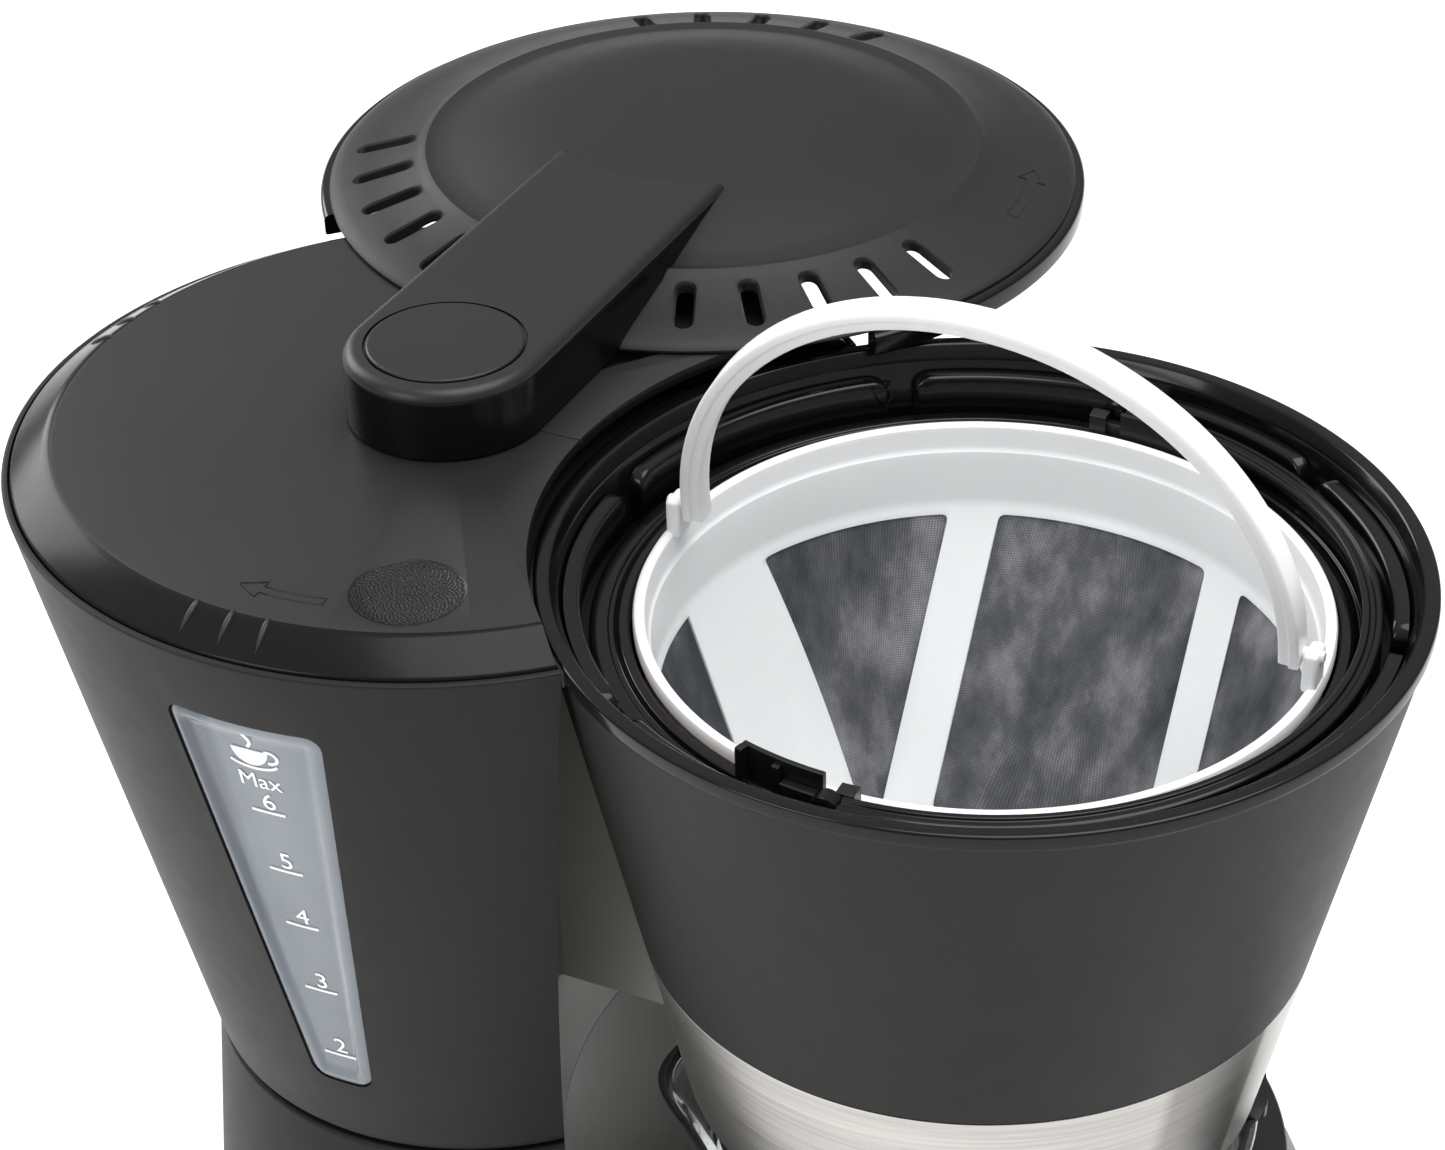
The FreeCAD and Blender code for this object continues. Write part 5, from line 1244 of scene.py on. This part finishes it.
# ---------------------------------------------------------------- base
def hot_plate():
    low, top = 35.2, 39.5
    corners = [(0, top - 1.6), (50, top - 1.6), (52, low), (58, low), (58, low + 1.6),
               (53.2, low + 1.6), (51.0, top), (0, top)]
    plate = raw("hot_plate", lathe(soften(corners, [0, 0.4, 0.4, 0.3, 0.7, 0.8, 1.2, 0]), FILTER, 200))
    return piece(plate, COATED, "machine", ["heating_plate"])


def dress_cad():
    """Materials and softened edges for the CAD nodes that stay as they are."""
    looks = {
        "base_shell": (CHARCOAL, 1.2), "base_cover": (SATIN, 0.3), "rubber_feet": (RUBBER, 0.5),
        "base_screws": (SCREWS, 0.15), "plate_seal": (RUBBER, 0.2), "cord_gland": (SATIN, 0.5),
        "terminal_block": (NATURAL, 0.3), "terminal_screws": (BRASS, 0.2), "tank_deck": (LID_SATIN, 0.2),
        "check_valve_body": (SATIN, 0.2), "check_valve_ball": (NATURAL, 0), "cold_hose": (SILICONE, 0),
        "hot_hose": (SILICONE, 0), "riser_tube": (NATURAL, 0.1), "riser_seal": (SILICONE, 0.2),
        # housing_neck gets the paler bay copy of the plastic as painted light too.
        "shower_head": (SATIN, 0.3), "water_duct": (NATURAL, 0.1), "housing_neck": (BAY_PAINTED_LIGHT, 0.5),
        "rim_bridge": (GLOSS, 0.0), "drip_plunger": (SATIN, 0.2), "plunger_seal": (SILICONE, 0.1),
        "valve_spring": (SCREWS, 0), "carafe_band": (SATIN, 0.5), "handle_screw": (SCREWS, 0.1),
        "switch_frame": (GLOSS, 0.4), "power_switch": (SATIN, 0.5), "switch_lens": (LENS, 0.1),
        "heater_casting": (CAST, 0.2), "heater_pipes": (SCREWS, 0.1), "heater_spreader": (CAST, 0.1),
        "thermostat": (CASES, 0.2), "thermostat_bracket": (SCREWS, 0.1), "thermal_fuses": (CASES, 0.3),
    }
    for name, (material, edge) in looks.items():
        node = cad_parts[name]
        node.data.materials.clear()
        node.data.materials.append(material)
        if edge:
            rounded_edges(node, edge, 2, 40)


# ---------------------------------------------------------------- light, floor and camera
def studio():
    scene = bpy.context.scene
    scene.view_settings.view_transform = "Standard"
    world = bpy.data.worlds.new("studio")
    world.use_nodes = True
    tree = world.node_tree
    background = tree.nodes["Background"]
    background.inputs["Color"].default_value = (1.0, 1.0, 1.0, 1.0)
    coords = tree.nodes.new("ShaderNodeTexCoord")
    split = tree.nodes.new("ShaderNodeSeparateXYZ")
    rise = tree.nodes.new("ShaderNodeMapRange")
    rise.inputs["From Min"].default_value = 0.0
    rise.inputs["From Max"].default_value = 0.9
    rise.inputs["To Min"].default_value = 0.10
    rise.inputs["To Max"].default_value = 0.84
    tree.links.new(coords.outputs["Generated"], split.inputs["Vector"])
    tree.links.new(split.outputs["Z"], rise.inputs["Value"])
    tree.links.new(rise.outputs["Result"], background.inputs["Strength"])
    scene.world = world
    floor_material = Nodes("floor_paper")
    floor_material.link(floor_material.ramp(floor_material.noise(3.0), [(0.3, (0.93, 0.93, 0.93)),
                                                                        (0.7, (0.95, 0.95, 0.95))]),
                        floor_material.shader.inputs["Base Color"])
    floor_material.set(Roughness=0.9, Specular_IOR_Level=0.1)
    mesh = bpy.data.meshes.new("floor")
    size = 40.0
    mesh.from_pydata([(-size, -size, 0), (size, -size, 0), (size, size, 0), (-size, size, 0)], [],
                     [(0, 1, 2, 3)])
    mesh.materials.append(floor_material.material)
    floor = bpy.data.objects.new("floor", mesh)
    scene.collection.objects.link(floor)
    sun = bpy.data.lights.new("sky_panel", "SUN")
    sun.energy = 2.4
    sun.angle = math.radians(50)
    holder = bpy.data.objects.new("sky_panel", sun)
    holder.rotation_euler = (math.radians(14), math.radians(3), 0)
    scene.collection.objects.link(holder)
    for name, place, size, power in (("left_box", (-1.0, 0.45, 0.9), 0.5, 3.5),
                                     ("back_box", (0.35, 1.2, 0.8), 0.7, 8.0)):
        light = bpy.data.lights.new(name, "AREA")
        light.energy = power
        light.shape = "SQUARE"
        light.size = size
        lamp = bpy.data.objects.new(name, light)
        lamp.location = place
        aim = Vector((0.0, 0.0, 0.22)) - Vector(place)
        lamp.rotation_mode = "QUATERNION"
        lamp.rotation_quaternion = aim.to_track_quat("-Z", "Y")
        scene.collection.objects.link(lamp)


def camera():
    azimuth, elevation = math.radians(-66.04), math.radians(33.93)
    back = Vector((math.sin(azimuth) * math.cos(elevation), -math.cos(azimuth) * math.cos(elevation),
                   math.sin(elevation)))
    data = bpy.data.cameras.new("camera")
    data.lens = 83.71
    data.sensor_width = 36.0
    data.shift_x = -0.0881
    data.shift_y = 0.0154
    data.clip_start = 0.02
    holder = bpy.data.objects.new("camera", data)
    holder.location = spot(-435.51, -168.87, 306.22 + RIM)
    holder.rotation_mode = "QUATERNION"
    holder.rotation_quaternion = (-back).to_track_quat("-Z", "Y")
    bpy.context.scene.collection.objects.link(holder)
    bpy.context.scene.camera = holder

for build in (tank_body, tower_body, tank_lid, thumb_dish, lid_ribs, deck, level_window, level_marks,
              swivel_arm, pivot_cap, disc_cover, disc_details, housing, liner, triangle_marks, basket,
              basket_bail, filter_body, gauze, filter_bail, jug_glass, jug_handle, jug_lid, hot_plate,
              dress_cad, studio, camera):
    build()
